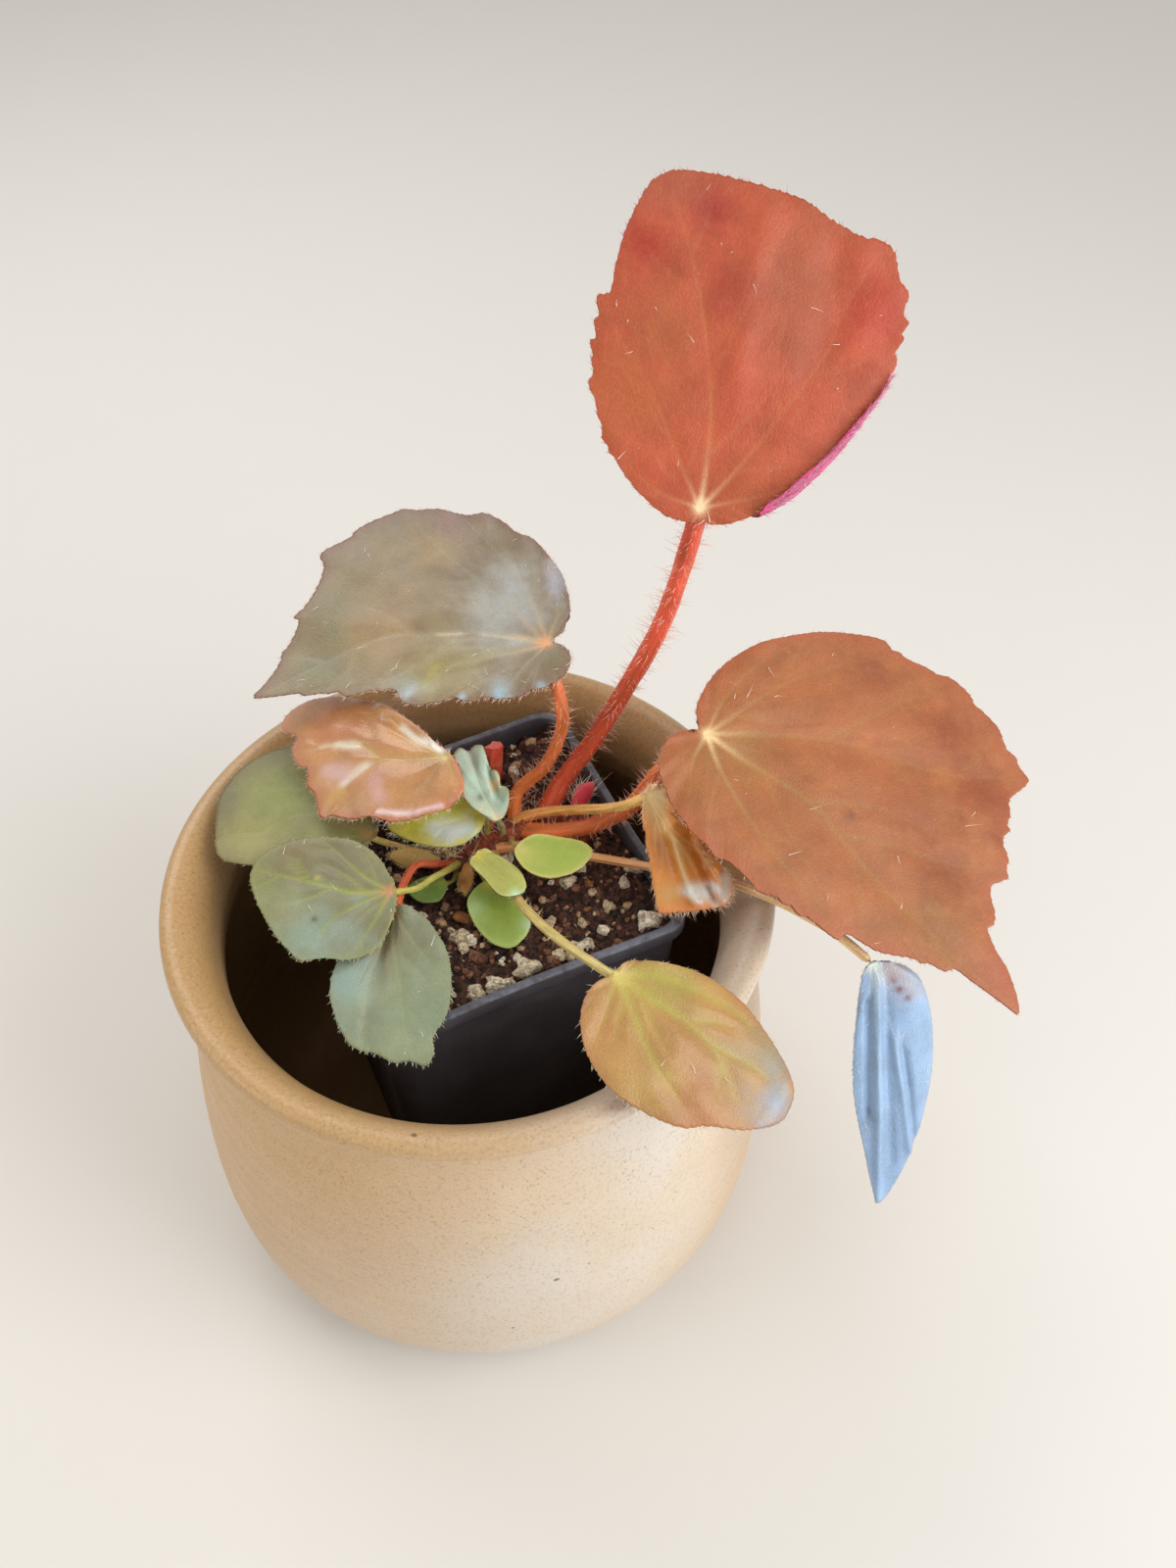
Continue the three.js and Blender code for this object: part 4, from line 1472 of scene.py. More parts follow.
    def painted(self, flat: Array, reach: Array) -> Tints:
        """Paints both sides of the blade.

        Args:
            flat: places on the blade.
            reach: their share of the way from the hub to the margin.

        Returns:
            The upper side's tint, with its margin, its blots and painted highlights, sheen, reflections and shade,
            veins and the rays at the hub, and the underside's.
        """
        look = self.look
        size = np.linalg.norm(flat, axis=1)
        depth = (1 - reach) * np.maximum(size, 1) / np.maximum(reach, 0.05)
        colour = ink(look.body) * (1 + 0.1 * unevenness(flat, 16, self.seed + 9, 4)[:, None])
        colour = blend(colour, look.margin, soft(depth, look.margin_width)[:, None] * 0.75)
        warp = 1 + 0.3 * unevenness(flat, 9, self.seed + 11, 3)
        # blots of the leaf's own colour, and on some leaves painted highlights, sheen, reflections and shade
        for *ends, radius, tone, strength in self.blots_and_painted_light:
            gap = gap_to(flat, ends[:2], ends[-2:]) * warp
            colour = blend(colour, tone, strength * soft(gap, radius)[:, None])
        level, _ = self.vein_levels(flat)
        colour = blend(colour, look.vein, limited(level * look.vein_share)[:, None])
        rays = np.exp(-size / (0.045 * self.length + 1.1)) * level**1.5 + 0.8 * soft(size, 1.6)
        under = ink(look.under) * (1 + 0.15 * unevenness(flat, 12, self.seed + 13, 3))[:, None]
        return {
            "tint": blend(colour, look.hub, limited(rays)[:, None]),
            "under": blend(under, look.vein, limited(0.5 * level)[:, None]),
        }

    def blade(self) -> Piece:
        """Builds and dresses the blade, with a skin of its own on top, below and along the edge."""

        def spread(across: Array, along: Array) -> tuple[Array, Array]:
            """Spreads cells over the blade, and gives their share of the way to the margin."""
            reach = 1 - (1 - along) ** 1.15
            return self.margin[np.rint(across * self.rays).astype(int) % self.rays] * reach[:, None], reach

        def place(across: Array, along: Array) -> Array:
            """Shapes the upper side."""
            return self.surface(*spread(across, along), self.thickness / 2)

        def tints(across: Array, along: Array) -> Tints:
            """Paints both sides."""
            return self.painted(*spread(across, along))

        piece = shaped_grid(f"blade_{self.name}", self.rays, self.rings, place, tints, closed=False)
        face_towards(piece, self.out)
        look = self.look
        cell = 0.3 + 0.25 * min(self.length / 60, 1.2)
        for side, label, roughness, coat, shade in (
            ("top", "tint", look.roughness, look.coat, 1.0), ("under", "under", 0.6, 0.0, 1.0),
            ("edge", "tint", 0.6, 0.0, EDGE_SHADE),
        ):
            finish = BladeFinish(f"leaf_{self.name}_{side}", label, roughness, coat, cell, shade)
            piece.data.materials.append(finish.material())
        apply_modifier(
            piece, "SOLIDIFY", thickness=self.thickness * MM, offset=-1.0, use_even_offset=False,
            material_offset=1, use_rim=True, material_offset_rim=2,
        )
        node = self.name if self.name.startswith("bract") else f"leaf_{self.name}"
        return finish_piece(piece, [], look.slot, node)

    def hairs(self, coat: HairCoat) -> None:
        """Adds hairs along the margin and on the upper face to a coat."""
        random = np.random.default_rng(self.seed + 17)
        fringe = self.fringe
        count = int(step_lengths(self.margin).sum() * fringe.hairs)
        flat = self.margin[random.integers(0, self.rays, count)]
        whole = np.ones(count)
        roots = self.surface(flat, whole)
        aims = roots - self.surface(flat * 0.97, whole * 0.97)
        for root, aim in zip(roots, aims):
            aim = aim / max(np.linalg.norm(aim), 1e-6) + random.normal(0, 0.35, 3)
            size = fringe.length * random.uniform(0.5, 1.3)
            coat.add(root, aim, size, random.uniform(0.16, 0.24), random.normal(0, 0.3, 3), paint(fringe.colour))
        share = np.sqrt(random.uniform(0.02, 0.95, fringe.on_face))
        flat = self.margin[random.integers(0, self.rays, fringe.on_face)] * share[:, None]
        for root in self.surface(flat, share, self.thickness / 2):
            aim = self.out * 0.3 + random.normal(0, 0.5, 3)
            size = 2.2 * random.uniform(0.5, 1.4)
            coat.add(root, aim, size, 0.2, random.normal(0, 0.3, 3), paint(0xF4EEDE))

    def roll_hairs(self, coat: HairCoat) -> None:
        """Adds the pink hairs that lie along the rolled margin to a coat."""
        random = np.random.default_rng(self.seed + 19)
        turn = np.degrees(np.arctan2(self.margin[:, 1], self.margin[:, 0]))
        picks = random.choice(np.flatnonzero((turn > self.roll.start) & (turn < self.roll.end)), self.roll.hairs)
        ends, size = self.margin[picks], np.linalg.norm(self.margin[picks], axis=1)
        share = 1 - self.rolled(ends) * random.uniform(0, 0.6, len(picks)) / size
        roots, further = (
            self.surface(flat * share[:, None], share, self.thickness / 2)
            for flat in (ends, self.margin[(picks + 4) % self.rays])
        )
        outward = np.outer(ends[:, 0] / size, self.tip) + np.outer(ends[:, 1] / size, self.across)
        for root, run, out in zip(roots, further - roots, outward):
            lean = 0.8 * out + 0.5 * self.out
            aim = lean + run / np.linalg.norm(run) * random.normal(0.9, 0.5)
            tone = soft_white(random, 0xB83C78, 0xF490C4)
            coat.add(root + 0.6 * lean, aim, random.uniform(1.2, 3), 0.22, random.normal(0, 0.3, 3), tone)

    def build(self, stem_finish: Coating) -> list[Piece]:
        """Builds the blade, its petiole and their hairs.

        Args:
            stem_finish: the petiole's material.

        Returns:
            The pieces.
        """
        pieces = [self.blade()]
        coat = HairCoat(f"hairs_{self.name}")
        self.hairs(coat)
        if self.roll:
            self.roll_hairs(coat)
        if self.petiole:
            base = np.array(self.hub, float) - self.out * (self.thickness + 0.45 * self.petiole.radius)
            stem = replace(self.petiole, path=[*self.petiole.path, tuple(base)])
            pieces.append(stem.build(self.name, stem_finish))
            stem.grow_hairs(coat, blend(ink(stem.top), 0xF0D6BE, 0.5), self.seed + 23)
        return [*pieces, coat.build(self.look.slot)]


@dataclass
class Rhizome:
    """The thick creeping stem with its knots and scars."""

    path: list[Point] = field(default_factory=lambda: rows(
        "-5 7.5 120.8, 3 12 123.2, 12 18 124, 22 19 123, 31 19.6 121"
    ))
    radius: float = 4
    knot: float = 0.9
    steps: int = 140
    around: int = 60

    def build(self) -> Piece:
        """Builds and dresses the rhizome."""
        spine = Spine.along(self.path, self.steps, (0, 0, 1.0))

        def place(across: Array, along: Array) -> Array:
            """Runs the knotty, ringed skin round the centre line."""
            angle = turn_of(across, self.around)
            knots = self.knot * np.cos(along * 8 * math.pi) ** 8
            rough = 0.35 * unevenness(skin_places(angle, along, 4, 38), 5, 71, 3) + 0.12 * np.sin(along * 150)
            width = (self.radius + knots + rough) * np.sqrt(limited(np.minimum(along, 1 - along) * 11))
            return spine.point(along, width * np.cos(angle), -width * np.sin(angle))

        def tints(across: Array, along: Array) -> Tints:
            """Mottles the skin and darkens its scars."""
            patch = limited(0.5 + 0.8 * unevenness(place(across, along), 7, 73, 3))[:, None]
            scars = (np.sin(along * 75) > 0.92)[:, None] * 0.6
            return {"tint": blend(blend(ink(0x78301E), 0xAC542E, patch), 0x422218, scars)}

        piece = shaped_grid("creeping_rhizome", self.around, self.steps, place, tints)
        finish = Flesh("rhizome_skin", 0.6, 0.08, 0.5, 0.9, 0.02)
        return finish_piece(piece, [finish.material()], "rhizome_skin", "rhizome")


def leaves() -> list[Leaf]:
    """Lists the sixteen leaves, from the tallest to the smallest."""
    return [Leaf(
        "tall", Fineness.LARGE, (52, 37, 212), (-0.04, 0.6, 0.8), (0.02, -0.8, 0.6), 7, -3,
        rows("70.1 3.8, 69.5 6.4, 68 9, 66.3 10.4, 58.7 14.6, 51.1 17.1, 45.6 18.5, 44.8 21.2, 40.6 21, 40.2 21.9, "
        "36.3 21.8, 35.7 22.9, 32.8 22.5, 31.4 22.8, 29.4 22.4, 26.7 23.5, 23.6 22.3, 19.5 21.6, 17.8 20.8, 15.8 21.1, "
        "13.2 19.6, 12.3 19.6, 11.6 18.7, 6.7 15.6, 3.5 12.9, 0 9.4, -2.3 5.2, -3.2 -0.2, -3.5 -5.9, -0.6 -14.5, "
        "1.9 -19.1, 5.3 -23.4, 12.2 -30.6, 26 -41.1, 29.4 -43.2, 31.8 -42.9, 34.5 -44.7, 35.5 -44.3, 38 -45.9, "
        "38.6 -45.1, 41.3 -44.9, 43 -45.8, 44.7 -45.5, 46.7 -44, 52.2 -43, 53.9 -41.9, 55.4 -38.9, 55.6 -36.6, "
        "57.5 -32.7, 60 -28.5, 62.9 -24.6, 64.5 -21.2, 69.4 -3.2"),
        LeafLook(0xB8573A, 0xB05437, 0xCA8952, 0xFFE4B8, 0xD4508C, "leaf_red", 0.3, 0.5, 0.05, 0.3, 0.7, 4),
        Stem(rows("16 18.5 124.5, 22 29 131, 29 33 141, 36 36 154, 42 37.5 168, 46.5 37.5 182, "
        "50 38.5 198"), 2.2, 0xDD592C, 0xE1593E, 6, 3.4),
        Fringe(1.3, 1.1, 0xD4767D, 30), 101,
        veins("0.75 1 5: 0 0, 11 -1.9, 21 -2.8, 44 -0.8, 57 2.1, 67 5; 0.7 0.6 3: 0 0, 11 4.6, 23 9.2, 39 18; "
        "0.7 0.75 4: 0 0, 8 -8.3, 18 -17, 32 -28, 39 -31, 52 -39; 0.6 0.5 2: 0 0, 3.1 -16, 11 -34; 0.6 0.45 0: 0 0, "
        "4.1 9.3, 10.5 16; 0.6 0.5 2: 27 -2.7, 44 -12, 57 -19"),
        patches("62 -3 4.5 9E2E27 0.9, 55 10.6 4.5 A52D25 0.8, 46 -22 10 985E40 0.4, 59 -26 7 A05E41 0.25, "
        "36 -19 8 94503A 0.45, 24 15 11 BA6639 0.6, 40 -39 8 B2382B 0.7, 45 -7 6 A13C2F 0.6, 38 6.8 8 A8623A 0.55, "
        "66 3 7 AA5E4A 0.6, 2 -10 9 A5542B 0.6, 28 -9 8 C1593E 0.5"),
        creases=rows("28 -8 58 -14 1 4, 30 -26 52 -30 -0.8 5"),
        curls=rows("66 -15 70 6 5"),
        roll=Roll(-99, -57.5, 5.4, 0.6, 620),
    ), Leaf(
        "right", Fineness.LARGE, (56, 13, 166), (0.74, -0.57, -0.36), (0.22, -0.3, 0.93), 10, -3,
        rows("96.7 6.3, 94.8 8.5, 90.4 11.4, 87.6 12.8, 84.1 13.6, 78.9 16.4, 79.4 18.7, 78.4 21.1, 74.7 24.1, "
        "73.5 26, 75.4 31.2, 73.7 32.6, 72.9 34.7, 68.8 37.5, 68.6 41.5, 67.5 41.8, 66.4 45, 64.7 46.9, 64.1 48.6, "
        "65 57.5, 61.2 58.3, 59 59.8, 55.8 59.4, 51.1 62.1, 45.1 62.5, 42.4 62.1, 40.5 63.3, 35.6 63.8, 33 63.3, "
        "30.3 61.3, 27.4 60.6, 22.3 58.2, 19.4 57.6, 17.8 56.6, 15.9 57, 14.1 56.4, 7.9 50.9, 2.8 45.1, -0.4 40.6, "
        "-6.6 28.8, -8.5 21.7, -9 15, -8.2 9.3, -6.1 3.2, -2.2 -1.2, -4.3 -3.3, -5.3 -5.2, -5.7 -7.8, -4.6 -12.3, "
        "-3.3 -14.5, -0.8 -16.5, 7.5 -19.8, 15.2 -21.2, 16.5 -21, 21.1 -21.6, 22.7 -20.5, 30.4 -20.1, 32.7 -20.4, "
        "36.7 -18.4, 39.1 -18.3, 39.8 -17.3, 43.3 -17.4, 44.2 -16.4, 53.5 -14.4, 53.6 -12.2, 62.2 -8.8, 69.8 -3.5, "
        "71.6 -3, 72.8 -1.7, 77.1 0.3, 78.1 2.2, 79.6 3, 85.6 3.8, 87.4 4.3, 90 4.6"),
        LeafLook(0xA86940, 0xAB6142, 0xA28947, 0xF4D6A4, 0x82352E, "leaf_rust", 0.38, 0.5, 0.06, 0.45, 1, 4),
        Stem(rows("12 16.5 125, 20 14 128.5, 29 14 131, 39 14.5 138, 46 15.5 150, "
        "52 14 160"), 2.1, 0xEC7C3B, 0xEC7F4C, 7, 2.8),
        Fringe(1.4, 0.9, 0xD09B7A, 22), 102,
        veins("1 0.95 5: 0 0, 13 3.1, 29 6.1, 41 4.9, 61 3.2, 95 6.3; 0.9 0.9 3: 0 0, 5.6 -3.4, 17 -7.9, 31 -11.3, "
        "49 -11.8, 53 -13; 0.95 0.75 4: 0 0, 6.9 8.1, 21 22, 36 32, 46 38, 64 56; 0.85 0.7 3: 0 0, 2.4 14, 5.5 27, "
        "13 44, 18 53; 0.85 0.7 2: 21 22, 26 38, 29 47, 36 61; 0.85 0.65 2: 39 6, 49 13, 62 21, 73 31; 0.7 0.6 0: 0 0, "
        "-2.7 9, -3.2 21, -0.6 35; 0.8 0.6 0: 0 0, 1.9 -7.5, 7.7 -16"),
        patches("42 49 8 8B4229 0.75, 58 44 8 8F462B 0.75, 18 46 7 8A492F 0.7, 62 18 9 8A4B2F 0.7, 45 24 8 8B4E34 0.6, "
        "71 5 10 8F6234 0.65, 37 10.5 1.2 603022 0.8, 30 -4 12 99623C 0.5, 5 -12 8 9D6938 0.6, 8 3 7 997640 0.5, "
        "88 7 8 A65B43 0.6, 30 28 14 B46D45 0.5"),
        creases=rows("10 12 58 48 -0.9 5, 10 2 80 5 -0.8 5"),
    ), Leaf(
        "grey", Fineness.LARGE, (18, 42, 168), (-0.98, -0.14, -0.14), (-0.1, -0.28, 0.95), 7, -2,
        rows("75.8 -4.2, 68.9 -2.6, 64 -2, 62.6 -0.7, 57.9 -0.5, 56.7 0.4, 54.7 0.6, 53.2 1, 52 2.7, 49.8 3.1, 45 3, "
        "42.6 3.9, 40.3 3.9, 38.9 4.8, 37.3 8.2, 32.9 10.1, 30.4 10, 28 10.5, 24.8 10.1, 23.2 11.5, 20.2 12.6, "
        "17.1 12.1, 13.6 13.2, 4 13.2, 1 12, -4 8.8, -4.9 3.9, -3.8 2, -1.4 -0.2, -4.5 -2.1, -6.4 -5.7, -7.2 -9.2, "
        "-7 -15.7, -6.4 -18.9, -0.9 -31.9, 3.4 -35.6, 5 -38.1, 8.5 -41.9, 10.9 -43.6, 14.8 -43.6, 17.4 -44.6, "
        "22.4 -47.5, 28.3 -49.1, 31.5 -50.6, 35.3 -50.1, 45.3 -47.9, 46.4 -46.6, 55.4 -42.7, 54.7 -38.9, 57.6 -31, "
        "60.5 -26.7, 63.4 -24.4, 62.3 -23.1, 63.6 -19.9, 65.5 -17.1, 67.6 -15.1, 68.4 -12.4, 72.7 -7.1"),
        LeafLook(0x93876E, 0x8E7164, 0xBAB7A6, 0xF2BC88, 0x954B4A, "leaf_grey", 0.4, 0.42, 0.2, 0.4, 1, 3),
        Stem(rows("10 17 125, 10 26 129, 17 29 136, 21 30 146, 22 31 155, "
        "20 35.5 162"), 1.6, 0xFC8C3D, 0xFC8956, 6, 3),
        Fringe(2, 1.3, 0xEFC5AF, 46), 103,
        veins("0.9 1 5: 0 0, 12 -5.9, 26 -9.2, 42 -11.3, 72 -4.7; 0.9 0.8 3: 0 0, 1.8 -10.7, 6.6 -25, 16 -42; "
        "1 0.9 2: 0 0, 16 1, 25 1.2, 32 5.1, 36 6.4; 0.8 0.6 0: 0 0, 5.1 4.6, 11.3 10.1; 0.9 0.7 3: 0 0, 13 -20, "
        "25 -37, 29 -46; 0.8 0.6 0: 0 0, -4 -8.7, -4.3 -22"),
        # The pale blue and blue-grey patches are painted sheen, and the small blue-white spots near the margin are
        # painted glints.
        patches("6.4 -22.6 3.7 -6 3.6 B1B7B5 0.7, -3.8 -21 -4.2 -15 1.8 C1BBC5 0.6, "
        "26.3 -8.9 20.3 -7.8 0.45 E7DCC1 0.8, 15.5 -6.3 8.9 -3.9 0.5 E0DAC8 0.8, 8.9 -3.9 0.5 -0.8 0.9 EBE0C1 0.85, "
        "9 -2.6 3.3 -1 1.2 BDCCD4 0.7, 24.4 0.9 14.3 -0.1 1.6 B1AB7B 0.5, 14.3 -0.1 2.5 -0.2 1.4 ADAF92 0.5, "
        "31.7 4.1 27.8 0.5 0.9 C5C160 0.6, 36.2 6.4 34.4 4.6 1.5 B5CEE3 0.85, 22.6 10.9 0.9 A2CAEB 0.9, "
        "13.3 11.8 1.4 A2D6F6 0.95, 3.2 12.2 1.1 AACEEB 0.9, 8 -15 9 AFB7B7 0.75, 13 -8 7 B7C0C2 0.65, "
        "24 -36 6 B59E68 0.7, 44 -14 13 B1936A 0.6, 53 -24 9 828366 0.6, 57 -7 8 80856A 0.7, 36 4 4 B1C0C4 0.6, "
        "13 10 3 AFC5D5 0.6, 19 -42 7 977C79 0.7, -5 -16 4 AFBCCD 0.6, 28 2 9 A49B64 0.6, 2 6 7 79715B 0.7"),
        creases=rows("2 -1 32 -10 -1.2 3, 4 2 34 4 -0.8 3"),
    ), Leaf(
        "copper", Fineness.MEDIUM, (-5, 13, 157), (-0.91, 0.36, -0.19), (-0.28, -0.22, 0.93), 6, -4,
        rows("53.3 -7.4, 53 -3.4, 50.6 -1.6, 46.8 -1.2, 45.6 0.2, 45.6 2.9, 43.9 5.3, 41.4 7.4, 38.7 7.8, 37.3 10.1, "
        "36.9 12, 34 13.6, 30.1 19.2, 27.3 18.4, 20.7 18.3, 16.3 17.5, 10.1 17.6, 6.8 16.9, -3.8 12.6, -5.7 10.9, "
        "-6.9 8.8, -6.9 6.2, -3.9 1.8, -1.2 -0.6, 6.3 -4.4, 10.4 -6.5, 19.7 -10.6, 26.5 -12.5, 39.2 -13.6, 45.1 -13.1, "
        "49.4 -11.5"),
        LeafLook(0xC2905E, 0xC67C5E, 0xC6AE65, 0xCCB671, 0xBC615E, "leaf_copper", 0.6, 0.24, 0.6, 1.1, 0.9, 2.5),
        Stem(rows("4 13 125, 4 24 127, -4 27 136, -8 23 147, -6.5 16 154"), 1.2, 0xE46635, 0xF69151, 2, 1.8),
        Fringe(3, 1.2, 0xE6B2A4), 104,
        veins("0.8 1 2: 0 0, 9.2 2, 17 3.3, 22 6.6, 29 18; 0.8 0.9 3: 17 3.3, 22 1, 26 0.4, 42 3.3; 0.7 0.9 2: 0 0, "
        "9.3 -2.5, 21 -8.9, 29 -12; 0.6 0.6 0: 0 0, -3.3 4.2, -4.9 7.6; 0.6 0.4 0: 0 0, 4 8, 9 14"),
        # The white, lilac and pink streaks are painted highlights.
        patches("38 -4 7 C27550 0.5, 28 -3 6 BC754E 0.5, 36.5 2 31.3 1 0.7 EBDAC4 0.7, 31.3 1 25.3 0.6 1 F2EEE2 0.95, "
        "26 10.8 20.3 5.2 1.1 F2EEE4 0.9, 31 8.2 26 8.8 2.4 DDBEC0 0.75, 16 9.5 14 12 2.4 E3BAC8 0.45, "
        "15.6 -6.3 8 -2.4 0.8 F2F0E8 0.9, 6.6 -3.6 1.6 -1 1 F6F6F2 0.95, 13.5 16.2 5.1 15.2 0.5 F6E2EC 0.9, "
        "5.1 15.2 -3 12 0.5 EFD2D8 0.85, 28.8 15.1 26 12.5 1.5 CB9F47 0.6"),
        creases=rows("2 -2 20 -8 -1 1.6, 8 -5 24 -11 1 2"),
    ), Leaf(
        "olive", Fineness.MEDIUM, (-25, 6, 136), (-0.99, 0.11, -0.04), (-0.05, -0.1, 0.99), 1, -1,
        rows("39 2, 36 9, 27 11, 14 10, 2 5, -2 -1, 2 -9, 13 -20, 26 -26, 35 -22, 41 -10"),
        LeafLook(0x8A8C57, 0x756D4E, 0xA8A668, 0xAC9258, 0x8E5D4A, "leaf_olive", 0.4, 0.46, 0.15, 0.35, 0.8, 4),
        Stem(rows("-3 9 123, -10 11 124.5, -16 10.5 125, -21 9.5 128, "
        "-24 7 133"), 1, 0xB48745, 0xB6A456, 1.5, 1.6, "stem_green"),
        Fringe(0.7, 0.8, 0xD9C997), 105,
        veins("0.8 0.8 3: 0 0, 18 -4.4, 27 1.6, 34 8; 0.8 0.8 3: 0 0, 19 -11.7, 30 -11.3, 39 -11; 0.8 0.6 2: 0 0, "
        "12 -14, 24 -24; 0.7 0.5 0: 0 0, 10 4, 20 8.5"),
        patches("26 -9 9 86944C 0.7, 39 -7 5 6F694C 0.6, 30 5 8 A4A067 0.7, 30 -22 6 77774E 0.5"),
    ), Leaf(
        "blue_green", Fineness.MEDIUM, (-17, -14, 140), (-0.99, 0.1, -0.08), (-0.1, -0.25, 0.96), 3, 0,
        rows("36 -2.8, 34.7 0.4, 28.4 9.3, 20.7 16.7, 18.5 17.9, 12 17.1, 8.3 17.4, 4.1 16.4, 1.2 14.3, -0.2 11.8, "
        "-1.8 5.3, -1.4 0, 1.9 -5.3, 4.3 -8.3, 7.3 -10.6, 10.6 -12.1, 14.6 -13, 18.5 -13.1, 23.2 -12.9, 27.8 -11.9, "
        "31.5 -10.4, 34.2 -8, 35.7 -5.6"),
        LeafLook(0x848665, 0x939B67, 0xA4B44A, 0xC08E60, 0x957159, "leaf_blue_green", 0.75, 0.4, 0.25, 0.45, 0.8, 1.6),
        Stem(rows("-4 7.5 123, -6 2 127.5, -9.3 -3.9 131.5, "
        "-12 -9.5 135"), 0.85, 0xBEB860, 0xCCC45C, 0.8, 1.2, "stem_green"),
        Fringe(1, 0.7, 0xD3D0A1, 10), 106,
        veins("0.75 1 4: 0 0, 9.8 0.9, 16 -0.7, 22 -2, 30 -3.7, 36 -4.9; 0.6 0.7 2: 0 0, 7.3 -3.5, 15 -9.6, 20 -13; "
        "0.6 0.8 0: 22 -2, 25 -6; 0.6 0.8 2: 0 0, 6.1 3.3, 11 6.3, 18 13; 0.6 0.8 2: 0 0, 2.2 7, 5 13, 7 16; "
        "0.5 0.5 0: 0 0, 0 -4, 3 -8"),
        patches("25 -8 6 84754E 0.7, 14 -7 7 7F795E 0.6, 18 12 7 93AEA3 0.85, 9 12 6 8FA193 0.7, 34 0 6 979F67 0.6, "
        "17 8 0.8 414433 0.9, 18 -2.4 0.5 DCCA74 0.9, 24 4 6 959D74 0.6"),
    ), Leaf(
        "hanging", Fineness.MEDIUM, (-16, -17, 137), (0.15, -0.96, -0.24), (-0.08, -0.25, 0.96), 3, -1,
        rows("37.1 3.9, 34.4 5.9, 31.7 5.8, 27.7 9, 25.1 10.3, 21 11.3, 12.4 11.2, 3.5 7.1, 1.3 5.1, -0.6 2.4, -1 -1, "
        "3 -9, 13 -15.6, 16.1 -16.3, 20.1 -16.3, 27.5 -14.1, 30.5 -12.2, 32.8 -7.1, 35.4 -3.5, 35.6 0.2"),
        LeafLook(0x8E9B80, 0x8E9978, 0x98A472, 0xA17C5E, 0x8E7162, "leaf_blue_green", 0.5, 0.42, 0.2, 0.6, 0.8, 1.6),
        Stem(rows("-5 8 122.5, -9.5 4 127, -13.5 1 130.5, -15.4 -7 133.5"), 1, 0xBA4E2A, 0xEF7140, 1, 1),
        Fringe(1.4, 0.9, 0xD3D0BB, 10), 107,
        veins("0.7 1 5: 0 0, 10 -0.8, 20 0, 26 0, 36 1.5; 0.7 0.8 3: 0 0, 11.4 -5.1, 18 -7.7, 29 -10.2; "
        "0.6 0.8 2: 0 0, 8.5 3.5, 16 8.1, 22 10.5"),
        patches("8 -3 5 837358 0.75, 15 -5 5 877E60 0.6, 16 -12 6 94B2AF 0.8, 26 4 8 8CA085 0.6, 7 5 5 7B7762 0.6"),
        creases=rows("2 -2 30 -9 -1 2, 4 -6 24 -14 0.8 3"),
    ), Leaf(
        "bronze", Fineness.MEDIUM, (36, -40, 145), (0.83, -0.53, -0.19), (0.12, -0.17, 0.98), 7, -2,
        rows("46.4 -1.6, 46.3 1.6, 45.1 4, 39.2 7.5, 27.2 12.2, 22.5 13, 18.4 13, 14.5 12.5, 10.4 11.1, 3 7.4, "
        "0.2 5.4, -1.2 2.6, -1.6 0.3, -3.3 -4.5, -3.5 -7.7, -2.6 -10.8, -0.9 -13.7, 1.8 -16.5, 5.4 -18.7, 12.6 -21.1, "
        "19.4 -20.7, 26.3 -19.2, 29.3 -17.8, 32.2 -15.1, 40.5 -9.3"),
        LeafLook(0xB38C53, 0xAF7B53, 0xAEAC50, 0xCFC16D, 0xA45D50, "leaf_bronze", 0.85, 0.36, 0.35, 0.5, 0.8, 2),
        Stem(rows("4 11.5 124, 7 2 128, 13 -11 131.5, 23 -26 138, "
        "31 -35 142"), 1.3, 0xCEB262, 0xE2D088, 0.7, 1.6, "stem_green"),
        Fringe(0.8, 1.3, 0xDAC9AE, 6), 108,
        veins("1.7 0.9 3: 0 0, 10 0.1, 19 0.6, 25 -0.3, 31 -3.3, 35 -6.3; 1.9 0.9 0: 0 0, 6.4 5.5, 16 8.3, 24 9.6, "
        "29 9.6; 1.6 0.8 2: 0 0, 6.1 -4.2, 13 -9, 19 -12, 25 -14; 1.2 0.5 0: 0 0, 1.8 -6.8, 3.3 -13; 1.4 0.6 0: 25 0, "
        "33 2, 38 2"),
        # The blue-grey patch at the tip is a painted reflection.
        patches("4 -10 6 BA874E 0.6, 15 -3 5 AC7B4C 0.6, 26 -8 6 AA7857 0.6, 42 -1 5 899BB3 0.85, 36 6 6 90907C 0.7, "
        "29 -15 6 B17653 0.6, 9 6 7 AAA152 0.7, 18 -17 7 B39957 0.5"),
        curls=rows("40 -10 40 8 7"),
    ), Leaf(
        "curled", Fineness.MEDIUM, (43, 8, 150), (0.28, -0.7, -0.65), (-0.2, -0.71, 0.68), 0, -2,
        rows("29.5 2.9, 29.9 7.6, 30 10.7, 28.1 12.8, 24.8 13.6, 22.5 13.1, 19.1 11.1, 15.2 10, 12 8.5, 9 6.5, "
        "5.5 5.4, 1.7 4.9, -0.5 4.3, -2 3.1, -2.5 1.2, -1 -0.9, 1.5 -1.8, 4.9 -2.9, 8.5 -3.1, 12.4 -3.8, 13.5 -3.6, "
        "17.7 -4.6, 21.2 -5.4, 23.4 -5.9, 27.1 -6.8"),
        LeafLook(0xEC9842, 0xFCA771, 0xF7D38B, 0xF2D393, 0xE67F5F, "leaf_copper", 0.6, 0.2, 0.7, 0.7, 0.8, 1.8),
        Stem(rows("8 15.5 124, 12 18.5 128.3, 19 18.3 131.3, 27.5 15.2 136, 34.7 11.7 141, "
        "40 9 146.3"), 1.35, 0xFCA551, 0xFCD07B, 1, 1.4, "stem_tan"),
